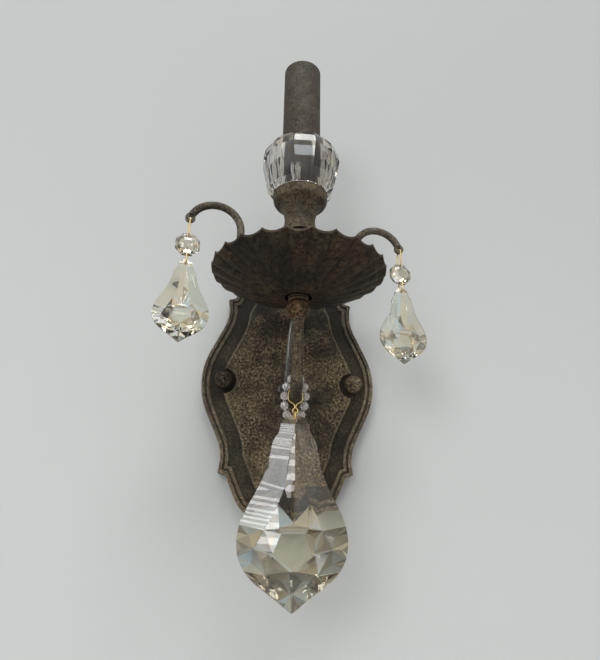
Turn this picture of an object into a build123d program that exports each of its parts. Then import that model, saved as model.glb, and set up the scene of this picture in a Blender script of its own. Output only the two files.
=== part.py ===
from build123d import *
import math
import os

# Crystal wall sconce, in millimetres. Z is up and X is to the right as seen
# from the room. The wall is the plane Y = 0 and the room lies on its -Y side.
# The origin is the middle of the backplate's footprint on the wall.

# ---------------------------------------------------------------- clearances
SLIP = 0.05            # round pieces that screw or slip together, on the radius
HOLE_EASE = 0.3        # clearance holes in sheet and castings, on the radius

# ---------------------------------------------------------------- backplate
PLATE_WIDTH = 118.6        # across the two rounded shoulders
SHOULDER_RADIUS = 51.0     # convex shoulder of the side
WAIST_RADIUS = 31.0        # concave sweep between shoulder and ear
WAIST_HALF_WIDTH = 43.4    # narrowest half width, at the waist
WAIST_HEIGHT = 52.0        # height of the waist above the middle
EAR_SWEEP = 15.5           # degrees of the concave sweep past the waist
CREST_FOOT_X = 39.5        # where the crest starts beside the ear
CREST_FOOT_Z = 61.8
CREST_RADIUS = 28.0        # round shoulder of the crest
CREST_CENTRE_X = 8.1
CREST_CENTRE_Z = 63.3
CREST_TIP_RADIUS = 12.0    # hollow curve that rises to the pointed tip
LIP_WIDTH = 2.3            # outer moulding
GROOVE_WIDTH = 1.2         # groove between the two mouldings
RIDGE_WIDTH = 2.1          # inner moulding
PANEL_INSET = 14.6         # raised panel, in from the outline
PLATE_FLOOR = 9.0          # front of the channel, off the wall
GROOVE_FRONT = 9.6
RIDGE_FRONT = 10.6
LIP_FRONT = 11.0
PANEL_FRONT = 12.0
MOULDING_CHAMFER = 0.5
PANEL_CHAMFER = 0.8
PLATE_WALL = 3.0           # rim left round the hollow back
HOLLOW_DEPTH = 6.8         # depth of the hollow back

# ---------------------------------------------------------------- wall fixing
STUD_SPACING = 88.9        # the two cap nuts, 3 1/2 inches apart
STUD_RADIUS = 2.1
STUD_TIP_CHAMFER = 0.5
STUD_FRONT = 16.0          # tip of each stud, off the wall
STRAP_LENGTH = 101.0
STRAP_HEIGHT = 16.0
STRAP_THICKNESS = 2.0
STRAP_CORNER_RADIUS = 2.0
STRAP_WIRE_HOLE_RADIUS = 5.0
STRAP_SLOT_WEB = 1.8           # metal between a slot and its stud hole
STRAP_SLOT_LENGTH = 18.0       # overall
STRAP_SLOT_WIDTH = 4.8
STRAP_GROUND_HOLE_X = 14.0     # ground screw, beside the wire hole
GROUND_SCREW_RADIUS = 2.0
GROUND_HEAD_RADIUS = 3.8
GROUND_HEAD_HEIGHT = 2.4
GROUND_HEAD_ROUND = 0.8
GROUND_SLOT_WIDTH = 0.95
STUD_NUT_ACROSS_FLATS = 8.0
STUD_NUT_HEIGHT = 3.2
CAP_NOTCH_RADIUS = 8.6     # hollow in the panel's side round each cap nut
CAP_BALL_RADIUS = 6.0
CAP_FOOT_RADIUS = 4.6
CAP_FOOT_HEIGHT = 1.6
CAP_BALL_SINK = 0.9        # how far the ball is sunk into its foot
CAP_BORE_DEPTH = 8.4

# ---------------------------------------------------------------- main arm
STEM_STANDOFF = 75.4       # stem axis to the wall
ARM_RADIUS = 3.5
ARM_THREAD_RADIUS = 3.0    # threaded root that goes through the plate
ARM_THREAD_BACK = 3.6      # end of the thread, off the wall
ARM_ROOT_BEND_START = 16.0   # where the arm begins to fall, off the wall
ARM_ROOT_BEND_RADIUS = 20.0
ARM_LOW_BEND_RADIUS = 12.0
ARM_LOW_BEND_Z = -12.0       # height of the low bend's centre
ARM_TOP_Z = 24.6             # top end, inside the ball
ARM_NUT_ACROSS_FLATS = 8.0
ARM_NUT_HEIGHT = 2.6
ARM_WASHER_RADIUS = 5.2
ARM_WASHER_THICKNESS = 0.6

# ---------------------------------------------------------------- stem stack
BALL_RADIUS = 7.2
BALL_Z = 28.7
BALL_TOP_FLAT = 5.0        # flat on top, above the ball's middle
BALL_CHAMBER = 2.6         # depth of the lead's chamber below the threaded tube
STEM_TUBE_RADIUS = 4.0
STEM_TUBE_BORE = 2.6
STEM_TUBE_DEPTH = 2.6      # how far the threaded tube enters the ball
STEM_TUBE_ABOVE_NUT = 4.6  # thread left above the lock nut
COLLAR_RINGS = 3
COLLAR_RING_HEIGHT = 2.15
COLLAR_RADIUS = 6.15
COLLAR_ROOT_RADIUS = 5.3
COLLAR_RING_ROUND = 0.75   # rounding of each ring
HUB_FOOT_RADIUS = 7.0
HUB_FOOT_HEIGHT = 4.6
HUB_RADIUS = 9.5
HUB_BAND_HEIGHT = 8.0
HUB_EDGE_CHAMFER = 0.8
COLUMN_HEIGHT = 28.0
COLUMN_FOOT_RADIUS = 8.2
COLUMN_WAIST_RADIUS = 6.0
COLUMN_TOP_RADIUS = 10.6
COLUMN_RING_HEIGHT = 2.4
URN_HEIGHT = 25.6
URN_FOOT_RADIUS = 10.8
URN_NECK_RADIUS = 9.7
URN_NECK_HEIGHT = 8.0
URN_SKIRT = 0.25           # sideways part of the foot's slope
URN_BELLY_RADIUS = 13.6    # where the flank is steepest
URN_BELLY_HEIGHT = 17.2
URN_SHOULDER_RADIUS = 17.4
URN_SHOULDER_HEIGHT = 23.6
URN_WALL = 2.0
URN_BASE = 4.0

# ---------------------------------------------------------------- fluted dish
DISH_RADIUS = 52.6
DISH_FLUTES = 25
DISH_PHASE = 1.8           # degrees from the front of one crease to the right
DISH_CREASE_RISE = 17.0    # rim creases above the inner ends of the flutes
DISH_FLUTE_SAG = 2.6       # depth of a flute at the rim
DISH_FLUTE_SAG_IN = 0.35   # and at the hub
DISH_SHEET = 1.3
DISH_BOWL_POWER = 1.6      # 1 is a plain cone, more is a rounder bowl
DISH_SECTIONS = 6
DISH_RECESS_RADIUS = 8.2
DISH_RECESS_DEPTH = 3.4
DISH_RECESS_WALL = 1.2

# ---------------------------------------------------------------- side arms
SIDE_ARM_TURN = 9.3        # degrees that the pair is turned about the stem
SIDE_ARM_RADIUS = 2.3
SIDE_ARM_START = 5.6       # inner end in the hub, from the stem axis
SIDE_ARM_LEG_R = 37.0      # upright leg, from the stem axis
SIDE_ARM_KNEE_RADIUS = 7.5
SIDE_ARCH_RADIUS = 15.6
SIDE_ARCH_Z = 75.5         # height of the arch's centre
SIDE_ARCH_END = 24.0       # degrees above level where the round rod stops
SIDE_EYE_ANGLE = 16.0      # degrees above level of the eye's middle
EYE_RADIUS = 3.0
EYE_THICKNESS = 2.0
EYE_HOLE_RADIUS = 1.2

# ---------------------------------------------------------------- crystal cup
CUP_FACETS = 12
CUP_BASE_RADIUS = 17.6
CUP_HEEL_RADIUS = 20.2     # top of the undercut at the foot
CUP_HEEL_HEIGHT = 3.0
CUP_LOW_RADIUS = 21.8      # where the tall facets start
CUP_LOW_HEIGHT = 9.0
CUP_WIDE_RADIUS = 24.9
CUP_WIDE_HEIGHT = 26.0
CUP_TOP_RADIUS = 20.4
CUP_HEIGHT = 34.4
CUP_BASE = 4.0
CUP_INNER_RADIUS = 16.0

# ---------------------------------------------------------------- candle
SLEEVE_RADIUS = 12.6
SLEEVE_WALL = 1.2
SLEEVE_LENGTH = 98.0
SLEEVE_EDGE_RADIUS = 0.5
CUP_WASHER_RADIUS = 10.8
CUP_WASHER_THICKNESS = 1.2
CUP_NUT_ACROSS_FLATS = 13.0
CUP_NUT_HEIGHT = 3.5
BRACKET_DISC_RADIUS = 8.6
BRACKET_THICKNESS = 1.2
BRACKET_WIDTH = 6.0
BRACKET_GRIP = 10.0        # overlap of the strip with the socket's side
SOCKET_RADIUS = 8.4
SOCKET_LENGTH = 38.0
SOCKET_DROP = 3.5          # socket's mouth below the sleeve's top
SOCKET_FLOOR = 9.0
SHELL_RADIUS = 6.6
SHELL_LEDGE = 2.6          # ledge that the shell stands on, above the socket's floor
SHELL_LEDGE_BORE = 5.4
SHELL_THICKNESS = 0.45
SHELL_DROP = 1.5           # shell's mouth below the socket's mouth
CONTACT_RADIUS = 2.4
CONTACT_HEIGHT = 1.8
CONTACT_ROUND = 0.6

# ---------------------------------------------------------------- lamp lead
LEAD_RADIUS = 1.1
LEAD_HOLE_RADIUS = 1.4
LEAD_PLATE_X = -5.2        # where the lead enters the backplate
LEAD_PLATE_Z = -4.6
BUSHING_RADIUS = 1.8
BUSHING_LIP_RADIUS = 2.2
BUSHING_LIP = 0.8
LEAD_TURN_RISE = 0.9       # first turn, above the foot of the threaded tube
LEAD_TURN_OUT = 1.5        # last turn, in front of the panel
LEAD_BEND_SHARE = 0.45     # share of the shorter run that a bend takes up
LEAD_BACK_END = 3.0        # the lead's end behind the plate, off the wall

# ---------------------------------------------------------------- wire links
LINK_WIRE_RADIUS = 0.45
LINK_HALF_WIDTH = 2.4      # of the wire's middle line, across the link
UPPER_LINK_SPAN = 13.1     # eye hole to the octagon's upper hole
LOWER_LINK_SPAN = 7.7      # octagon's lower hole to the drop's hole
DROP_HOLE_RADIUS = 1.1

# ---------------------------------------------------------------- crystals
OCTAGON_WIDTH = 14.0
OCTAGON_THICKNESS = 5.6
OCTAGON_EDGE = 1.2
OCTAGON_TABLE = 7.0        # flat table in the middle, across flats
OCTAGON_HOLE_INSET = 1.9
SMALL_DROP_LENGTH = 50.0
SMALL_DROP_WIDTH = 31.0
SMALL_DROP_THICKNESS = 8.0
SMALL_DROP_HOLE_INSET = 2.7
LARGE_DROP_LENGTH = 100.0
LARGE_DROP_WIDTH = 58.6
LARGE_DROP_THICKNESS = 14.0
LARGE_DROP_HOLE_INSET = 3.2
DROP_EDGE = 1.2            # thickness of a drop's thin outer edge
DROP_TABLE = 0.5           # size of the raised middle, as a share of the silhouette
# Silhouette of a drop. Widths are shares of its half width, and levels are
# shares of its length below the top.
DROP_HEAD = 0.30
DROP_HEAD_AT = 0.095
DROP_COLLAR = 0.41         # small step below the rounded head
DROP_COLLAR_AT = 0.15
DROP_SHOULDER = 0.66       # hollow flank
DROP_SHOULDER_AT = 0.40
DROP_BELLY_AT = 0.66       # widest level
DROP_OGEE = 0.50           # where the belly turns into the point
DROP_OGEE_AT = 0.89
DROP_TIP = 0.03
DROP_TIP_LEAN = 1.1        # sideways part of the point's slope

# ---------------------------------------------------------------- garland
BEADS = 11
GARLAND_STEPS = 720        # steps in which the oval is paced out
BEAD_RADIUS = 2.5
BEAD_BORE = 0.8
BEAD_WIRE_RADIUS = 0.25
GARLAND_HALF_WIDTH = 6.2
GARLAND_TOP_Y = -69.3
GARLAND_TOP_Z = -10.8
GARLAND_FOOT_Y = -60.6
GARLAND_FOOT_Z = -34.6

# ---------------------------------------------------------------- hanger
HANGER_WIRE_RADIUS = 0.3
HANGER_Y = -69.5
HANGER_TOP_GAP = 0.3       # wire's middle line clear of the arm, plus its radius
HANGER_HALF_WIDTH = 4.1
HANGER_LEG_Z = -23.6       # where the legs start to come together
HANGER_JOIN_Z = -28.4      # where the two legs are twisted together
HANGER_TWIST = 0.8         # length of the short shank below the join
HANGER_EYE_RADIUS = 1.4
JUMP_LINK_SPAN = 5.2       # hanger's eye to the large drop's hole


# ---------------------------------------------------------------- worked out
BALL_TOP = BALL_Z + BALL_TOP_FLAT
COLLAR_TOP = BALL_TOP + COLLAR_RINGS * COLLAR_RING_HEIGHT
DISH_HUB_TOP = COLLAR_TOP + DISH_SHEET
DISH_FLUTE_START_Z = COLLAR_TOP - DISH_RECESS_DEPTH
HUB_FOOT_TOP = DISH_HUB_TOP + HUB_FOOT_HEIGHT
SIDE_ARM_Z = HUB_FOOT_TOP + HUB_BAND_HEIGHT / 2
HUB_TOP = HUB_FOOT_TOP + HUB_BAND_HEIGHT
COLUMN_TOP = HUB_TOP + COLUMN_HEIGHT
URN_TOP = COLUMN_TOP + URN_HEIGHT
CUP_FLOOR = URN_TOP + CUP_BASE
SLEEVE_TOP = CUP_FLOOR + SLEEVE_LENGTH
CUP_NUT_Z = CUP_FLOOR + CUP_WASHER_THICKNESS
CUP_NUT_TOP = CUP_NUT_Z + CUP_NUT_HEIGHT
STEM_TUBE_TOP = CUP_NUT_TOP + STEM_TUBE_ABOVE_NUT
STEM_TUBE_Z = BALL_TOP - STEM_TUBE_DEPTH
SOCKET_TOP = SLEEVE_TOP - SOCKET_DROP
SOCKET_Z = SOCKET_TOP - SOCKET_LENGTH
STEM_HOLE = STEM_TUBE_RADIUS + SLIP
SIDE_ARCH_R = SIDE_ARM_LEG_R + SIDE_ARCH_RADIUS
ARM_LOW_BEND_Y = -STEM_STANDOFF + ARM_LOW_BEND_RADIUS
STRAP_SLOT_SPACING = STUD_SPACING - 2 * (STUD_RADIUS + SLIP + STRAP_SLOT_WEB) - STRAP_SLOT_LENGTH

STEM = Location((0, -STEM_STANDOFF, 0))
SIDES = {"left": 180.0, "right": 0.0}


# ---------------------------------------------------------------- helpers
def polar(centre, radius, degrees):
    """Point on a circle in a drawing plane."""
    angle = math.radians(degrees)
    return (centre[0] + radius * math.cos(angle), centre[1] + radius * math.sin(angle))


def arc_about(centre, radius, start, end):
    """Circular edge about a centre, from one angle in degrees to another."""
    middle = polar(centre, radius, (start + end) / 2)
    return ThreePointArc(polar(centre, radius, start), middle, polar(centre, radius, end))


def turned(points):
    """Solid of revolution about Z from (radius, height) corners."""
    outline = Polyline(*[(r, 0, z) for r, z in points], close=True)
    return revolve(make_face(outline), Axis.Z)


def ring(outer, inner, bottom, height):
    """Plain washer or tube standing on a level."""
    blank = Cylinder(outer, height, align=(Align.CENTER, Align.CENTER, Align.MIN))
    bore = Cylinder(inner, height, align=(Align.CENTER, Align.CENTER, Align.MIN))
    return Location((0, 0, bottom)) * (blank - bore)


def rod(radius, start, end):
    """Round rod between two points."""
    line = Line(start, end)
    section = Plane(origin=start, z_dir=line.tangent_at(0)) * Circle(radius)
    return sweep(section, line)


def one_wire(pieces):
    """One wire from lines and arcs that meet end to end."""
    return Wire([edge for piece in pieces for edge in piece.edges()])


def swept_wire(path, radius, transition=Transition.TRANSFORMED):
    """Round wire along a path."""
    section = Plane(origin=path.position_at(0), z_dir=path.tangent_at(0)) * Circle(radius)
    return sweep(section, path, transition=transition)


def hex_nut(across_flats, height, bore):
    """Six-sided nut standing on Z = 0."""
    corner = across_flats / math.sqrt(3)
    sketch = RegularPolygon(corner, 6) - Circle(bore)
    return extrude(sketch, height)


def off_wall(shape):
    """Stands a shape drawn with X, height and distance off the wall on the wall."""
    return Plane.XZ * shape


def side_frame(side):
    """Frame of one side arm: local X runs out from the stem, local Z up."""
    return STEM * Rotation(0, 0, SIDES[side] + SIDE_ARM_TURN)


# ---------------------------------------------------------------- backplate
def plate_quarter(side, end):
    """Edges of one quarter of the outline; side and end are +1 or -1."""
    shoulder = (PLATE_WIDTH / 2 - SHOULDER_RADIUS, 0.0)
    waist = (WAIST_HALF_WIDTH + WAIST_RADIUS, WAIST_HEIGHT)
    across = math.hypot(waist[0] - shoulder[0], waist[1] - shoulder[1])
    heading = math.degrees(math.atan2(waist[1] - shoulder[1], waist[0] - shoulder[0]))
    lean = math.degrees(math.acos((SHOULDER_RADIUS + WAIST_RADIUS) / across))
    normal = heading - lean
    crest = (CREST_CENTRE_X, CREST_CENTRE_Z)
    foot = (CREST_FOOT_X, CREST_FOOT_Z)
    reach = math.hypot(foot[0] - crest[0], foot[1] - crest[1])
    crest_start = math.degrees(math.atan2(foot[1] - crest[1], foot[0] - crest[0]))
    crest_start += math.degrees(math.acos(CREST_RADIUS / reach))
    tip = (CREST_CENTRE_X, CREST_CENTRE_Z + CREST_RADIUS + CREST_TIP_RADIUS)
    tip_end = -90.0 - math.degrees(math.asin(CREST_CENTRE_X / CREST_TIP_RADIUS))
    edges = [
        arc_about(shoulder, SHOULDER_RADIUS, 0.0, normal),
        Line(polar(shoulder, SHOULDER_RADIUS, normal), polar(waist, WAIST_RADIUS, 180.0 + normal)),
        arc_about(waist, WAIST_RADIUS, 180.0 + normal, 180.0 - EAR_SWEEP),
        Line(polar(waist, WAIST_RADIUS, 180.0 - EAR_SWEEP), foot),
        Line(foot, polar(crest, CREST_RADIUS, crest_start)),
        arc_about(crest, CREST_RADIUS, crest_start, 90.0),
        arc_about(tip, CREST_TIP_RADIUS, -90.0, tip_end),
    ]
    if side < 0:
        edges = [mirror(edge, Plane.YZ) for edge in edges]
    if end < 0:
        edges = [mirror(edge, Plane.XZ) for edge in edges]
    return edges


def plate_face(inset):
    """The cartouche outline, drawn in by a distance."""
    edges = []
    for side in (1, -1):
        for end in (1, -1):
            edges += plate_quarter(side, end)
    face = Face(one_wire(edges))
    if inset > 0:
        face = offset(face, amount=-inset, kind=Kind.INTERSECTION)
    return Sketch() + face


def raised_band(outer_inset, inner_inset, front):
    """One moulding that follows the outline, with its front edges eased."""
    band = extrude(plate_face(outer_inset) - plate_face(inner_inset), front)
    return chamfer(band.faces().sort_by(Axis.Z)[-1].edges(), MOULDING_CHAMFER)


def backplate():
    """Cast cartouche with a double moulded rim, raised panel and hollow back."""
    groove_in = LIP_WIDTH + GROOVE_WIDTH
    ridge_in = groove_in + RIDGE_WIDTH
    studs = [(STUD_SPACING / 2, 0), (-STUD_SPACING / 2, 0)]
    panel_sketch = plate_face(PANEL_INSET)
    for stud in studs:
        panel_sketch -= Pos(*stud) * Circle(CAP_NOTCH_RADIUS)
    panel = extrude(panel_sketch, PANEL_FRONT)
    panel = chamfer(panel.faces().sort_by(Axis.Z)[-1].edges(), PANEL_CHAMFER)
    body = extrude(plate_face(0), PLATE_FLOOR)
    body += extrude(plate_face(LIP_WIDTH / 2) - plate_face(groove_in), GROOVE_FRONT)
    body += raised_band(0, LIP_WIDTH, LIP_FRONT)
    body += raised_band(groove_in, ridge_in, RIDGE_FRONT)
    body += panel
    body -= extrude(plate_face(PLATE_WALL), HOLLOW_DEPTH)
    for stud in studs:
        body -= Pos(*stud) * Cylinder(STUD_RADIUS + HOLE_EASE, 3 * LIP_FRONT)
    body -= Cylinder(ARM_THREAD_RADIUS + SLIP, 3 * PANEL_FRONT)
    body -= Pos(LEAD_PLATE_X, LEAD_PLATE_Z) * Cylinder(BUSHING_RADIUS, 3 * PANEL_FRONT)
    return off_wall(body)


# ---------------------------------------------------------------- wall fixing
def mounting_strap():
    """Flat bar against the wall that carries the two studs."""
    sketch = RectangleRounded(STRAP_LENGTH, STRAP_HEIGHT, STRAP_CORNER_RADIUS)
    sketch -= Circle(STRAP_WIRE_HOLE_RADIUS)
    sketch -= Pos(STRAP_GROUND_HOLE_X, 0) * Circle(GROUND_SCREW_RADIUS + SLIP)
    for side in (1, -1):
        sketch -= Pos(side * STRAP_SLOT_SPACING / 2, 0) * SlotOverall(STRAP_SLOT_LENGTH, STRAP_SLOT_WIDTH)
        sketch -= Pos(side * STUD_SPACING / 2, 0) * Circle(STUD_RADIUS + SLIP)
    return off_wall(extrude(sketch, STRAP_THICKNESS))


def stud(side):
    """Threaded stud from the strap out through the plate."""
    blank = Cylinder(STUD_RADIUS, STUD_FRONT, align=(Align.CENTER, Align.CENTER, Align.MIN))
    blank = chamfer(blank.edges().sort_by(Axis.Z)[-1], STUD_TIP_CHAMFER)
    return off_wall(Pos(side * STUD_SPACING / 2, 0) * blank)


def stud_nut(side):
    """Nut that locks a stud to the strap."""
    nut = hex_nut(STUD_NUT_ACROSS_FLATS, STUD_NUT_HEIGHT, STUD_RADIUS + SLIP)
    return off_wall(Pos(side * STUD_SPACING / 2, 0, STRAP_THICKNESS) * nut)


def ground_screw():
    """Pan-head screw for the earth wire, threaded into the strap."""
    shank = Cylinder(GROUND_SCREW_RADIUS, STRAP_THICKNESS, align=(Align.CENTER, Align.CENTER, Align.MIN))
    head = Cylinder(GROUND_HEAD_RADIUS, GROUND_HEAD_HEIGHT, align=(Align.CENTER, Align.CENTER, Align.MIN))
    head = fillet(head.edges().sort_by(Axis.Z)[-1], GROUND_HEAD_ROUND)
    slot = Box(3 * GROUND_HEAD_RADIUS, GROUND_SLOT_WIDTH, GROUND_HEAD_HEIGHT)
    head -= Pos(0, 0, GROUND_HEAD_HEIGHT) * slot
    screw = shank + Pos(0, 0, STRAP_THICKNESS) * head
    return off_wall(Pos(STRAP_GROUND_HOLE_X, 0) * screw)


def cap_nut(side):
    """Ball nut that holds the plate against the wall."""
    foot = Cylinder(CAP_FOOT_RADIUS, CAP_FOOT_HEIGHT, align=(Align.CENTER, Align.CENTER, Align.MIN))
    ball = Pos(0, 0, CAP_FOOT_HEIGHT + CAP_BALL_RADIUS - CAP_BALL_SINK) * Sphere(CAP_BALL_RADIUS)
    above = Box(4 * CAP_BALL_RADIUS, 4 * CAP_BALL_RADIUS, 4 * CAP_BALL_RADIUS,
                align=(Align.CENTER, Align.CENTER, Align.MIN))
    nut = foot + (ball & above)
    nut -= Cylinder(STUD_RADIUS + SLIP, CAP_BORE_DEPTH, align=(Align.CENTER, Align.CENTER, Align.MIN))
    return off_wall(Pos(side * STUD_SPACING / 2, 0, PLATE_FLOOR) * nut)


# ---------------------------------------------------------------- main arm
def arm_path():
    """Middle line of the main arm, in the plane X = 0."""
    root = (-ARM_ROOT_BEND_START, -ARM_ROOT_BEND_RADIUS)
    low = (ARM_LOW_BEND_Y, ARM_LOW_BEND_Z)
    across = math.hypot(low[0] - root[0], low[1] - root[1])
    rise = math.degrees(math.atan2(low[1] - root[1], root[0] - low[0]))
    fall = math.degrees(math.asin((ARM_ROOT_BEND_RADIUS + ARM_LOW_BEND_RADIUS) / across)) - rise
    root_end = polar(root, ARM_ROOT_BEND_RADIUS, 90.0 + fall)
    low_start = polar(low, ARM_LOW_BEND_RADIUS, fall - 90.0)
    low_end = polar(low, ARM_LOW_BEND_RADIUS, -180.0)
    flat = [
        Line((-PANEL_FRONT, 0), (-ARM_ROOT_BEND_START, 0)),
        arc_about(root, ARM_ROOT_BEND_RADIUS, 90.0, 90.0 + fall),
        Line(root_end, low_start),
        arc_about(low, ARM_LOW_BEND_RADIUS, fall - 90.0, -180.0),
        Line(low_end, (low_end[0], ARM_TOP_Z)),
    ]
    return Plane.YZ * one_wire(flat)


def main_arm():
    """Forged rod from the plate, down, round and up to the ball."""
    bar = swept_wire(arm_path(), ARM_RADIUS)
    thread = rod(ARM_THREAD_RADIUS, (0, -PANEL_FRONT, 0), (0, -ARM_THREAD_BACK, 0))
    return bar + thread


def arm_washer():
    """Washer behind the panel."""
    washer = ring(ARM_WASHER_RADIUS, ARM_THREAD_RADIUS + SLIP, HOLLOW_DEPTH - ARM_WASHER_THICKNESS,
                  ARM_WASHER_THICKNESS)
    return off_wall(washer)


def arm_nut():
    """Nut on the arm's threaded root."""
    nut = hex_nut(ARM_NUT_ACROSS_FLATS, ARM_NUT_HEIGHT, ARM_THREAD_RADIUS + SLIP)
    return off_wall(Pos(0, 0, HOLLOW_DEPTH - ARM_WASHER_THICKNESS - ARM_NUT_HEIGHT) * nut)


# ---------------------------------------------------------------- stem stack
def coupling_ball():
    """Turned ball that joins arm and stem, with a slanted way out for the lead."""
    ball = Pos(0, 0, BALL_Z) * Sphere(BALL_RADIUS)
    ball -= Pos(0, 0, BALL_TOP) * Box(3 * BALL_RADIUS, 3 * BALL_RADIUS, 2 * BALL_RADIUS,
                                      align=(Align.CENTER, Align.CENTER, Align.MIN))
    foot = BALL_Z - BALL_RADIUS
    ball -= ring_bore(ARM_RADIUS + SLIP, foot, ARM_TOP_Z)
    ball -= ring_bore(STEM_HOLE, STEM_TUBE_Z, BALL_TOP)
    ball -= ring_bore(STEM_TUBE_BORE, STEM_TUBE_Z - BALL_CHAMBER, STEM_TUBE_Z)
    ball = STEM * ball
    return ball - rod(LEAD_HOLE_RADIUS, LEAD_ROUTE[1], LEAD_ROUTE[2])


def ring_bore(radius, bottom, top):
    """Cylinder that cuts a bore between two levels."""
    return Pos(0, 0, bottom) * Cylinder(radius, top - bottom, align=(Align.CENTER, Align.CENTER, Align.MIN))


def stem_tube():
    """Threaded tube that strings the whole stem together."""
    return STEM * ring(STEM_TUBE_RADIUS, STEM_TUBE_BORE, STEM_TUBE_Z, STEM_TUBE_TOP - STEM_TUBE_Z)


def ringed_collar():
    """Turned collar of three rings below the dish."""
    collar = ring(COLLAR_ROOT_RADIUS, STEM_HOLE, BALL_TOP, COLLAR_TOP - BALL_TOP)
    half = COLLAR_RING_HEIGHT / 2
    for index in range(COLLAR_RINGS):
        level = BALL_TOP + (index + 0.5) * COLLAR_RING_HEIGHT
        band = ring(COLLAR_RADIUS, STEM_HOLE, level - half, COLLAR_RING_HEIGHT)
        outer = band.edges().filter_by(GeomType.CIRCLE).sort_by(SortBy.RADIUS)[-2:]
        collar += fillet(outer, COLLAR_RING_ROUND)
    return STEM * collar


def arm_hub():
    """Turned hub that holds the two side arms and clamps the dish."""
    outline = [
        (STEM_HOLE, DISH_HUB_TOP),
        (HUB_FOOT_RADIUS, DISH_HUB_TOP),
        (HUB_FOOT_RADIUS, HUB_FOOT_TOP),
        (HUB_RADIUS - HUB_EDGE_CHAMFER, HUB_FOOT_TOP),
        (HUB_RADIUS, HUB_FOOT_TOP + HUB_EDGE_CHAMFER),
        (HUB_RADIUS, HUB_TOP - HUB_EDGE_CHAMFER),
        (HUB_RADIUS - HUB_EDGE_CHAMFER, HUB_TOP),
        (STEM_HOLE, HUB_TOP),
    ]
    hub = STEM * turned(outline)
    for side in SIDES:
        hole = rod(SIDE_ARM_RADIUS + SLIP, (SIDE_ARM_START, 0, SIDE_ARM_Z), (2 * HUB_RADIUS, 0, SIDE_ARM_Z))
        hub -= side_frame(side) * hole
    return hub


def stem_column():
    """Slender turned column between the hub and the urn."""
    ring_z = COLUMN_TOP - COLUMN_RING_HEIGHT
    middle = (HUB_TOP + ring_z) / 2
    inner = Line((STEM_HOLE, 0, COLUMN_TOP), (STEM_HOLE, 0, HUB_TOP))
    foot = Line((STEM_HOLE, 0, HUB_TOP), (COLUMN_FOOT_RADIUS, 0, HUB_TOP))
    flank = ThreePointArc((COLUMN_FOOT_RADIUS, 0, HUB_TOP), (COLUMN_WAIST_RADIUS, 0, middle),
                          (COLUMN_FOOT_RADIUS, 0, ring_z))
    step = Polyline((COLUMN_FOOT_RADIUS, 0, ring_z), (COLUMN_TOP_RADIUS, 0, ring_z),
                    (COLUMN_TOP_RADIUS, 0, COLUMN_TOP), (STEM_HOLE, 0, COLUMN_TOP))
    return STEM * revolve(make_face([inner, foot, flank, step]), Axis.Z)


def urn_cup():
    """Hollow urn whose rim carries the crystal cup."""
    foot = (URN_FOOT_RADIUS, 0, COLUMN_TOP)
    neck = (URN_NECK_RADIUS, 0, COLUMN_TOP + URN_NECK_HEIGHT)
    belly = (URN_BELLY_RADIUS, 0, COLUMN_TOP + URN_BELLY_HEIGHT)
    shoulder = (URN_SHOULDER_RADIUS, 0, COLUMN_TOP + URN_SHOULDER_HEIGHT)
    rim = (URN_SHOULDER_RADIUS, 0, URN_TOP)
    base_z = COLUMN_TOP + URN_BASE
    outside = [
        Line((STEM_HOLE, 0, COLUMN_TOP), foot),
        Spline(foot, neck, belly, shoulder, tangents=[(-URN_SKIRT, 0, 1), (0, 0, 1)]),
        Line(shoulder, rim),
    ]
    inside = Polyline(
        rim,
        (URN_SHOULDER_RADIUS - URN_WALL, 0, URN_TOP),
        (URN_SHOULDER_RADIUS - URN_WALL, 0, shoulder[2]),
        (URN_BELLY_RADIUS - URN_WALL, 0, belly[2]),
        (STEM_HOLE + URN_WALL, 0, base_z + URN_WALL),
        (STEM_HOLE + URN_WALL, 0, base_z),
        (STEM_HOLE, 0, base_z),
        (STEM_HOLE, 0, COLUMN_TOP),
    )
    return STEM * revolve(make_face(outside + [inside]), Axis.Z)


# ---------------------------------------------------------------- fluted dish
def flute_level(radius):
    """Height of a crease at a distance from the stem axis."""
    share = (radius - DISH_RECESS_RADIUS) / (DISH_RADIUS - DISH_RECESS_RADIUS)
    return DISH_FLUTE_START_Z + DISH_CREASE_RISE * share ** DISH_BOWL_POWER


def flute_section(radius):
    """Cross section of one flute, a shallow gutter in a plane X = radius."""
    share = (radius - DISH_RECESS_RADIUS) / (DISH_RADIUS - DISH_RECESS_RADIUS)
    half = radius * math.tan(math.pi / DISH_FLUTES)
    level = flute_level(radius)
    sag = DISH_FLUTE_SAG_IN + (DISH_FLUTE_SAG - DISH_FLUTE_SAG_IN) * share
    low = ThreePointArc((radius, -half, level), (radius, 0, level - sag), (radius, half, level))
    high = ThreePointArc((radius, -half, level + DISH_SHEET), (radius, 0, level - sag + DISH_SHEET),
                         (radius, half, level + DISH_SHEET))
    left = Line((radius, -half, level), (radius, -half, level + DISH_SHEET))
    right = Line((radius, half, level), (radius, half, level + DISH_SHEET))
    return Face(one_wire([low, right, high, left]))


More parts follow.
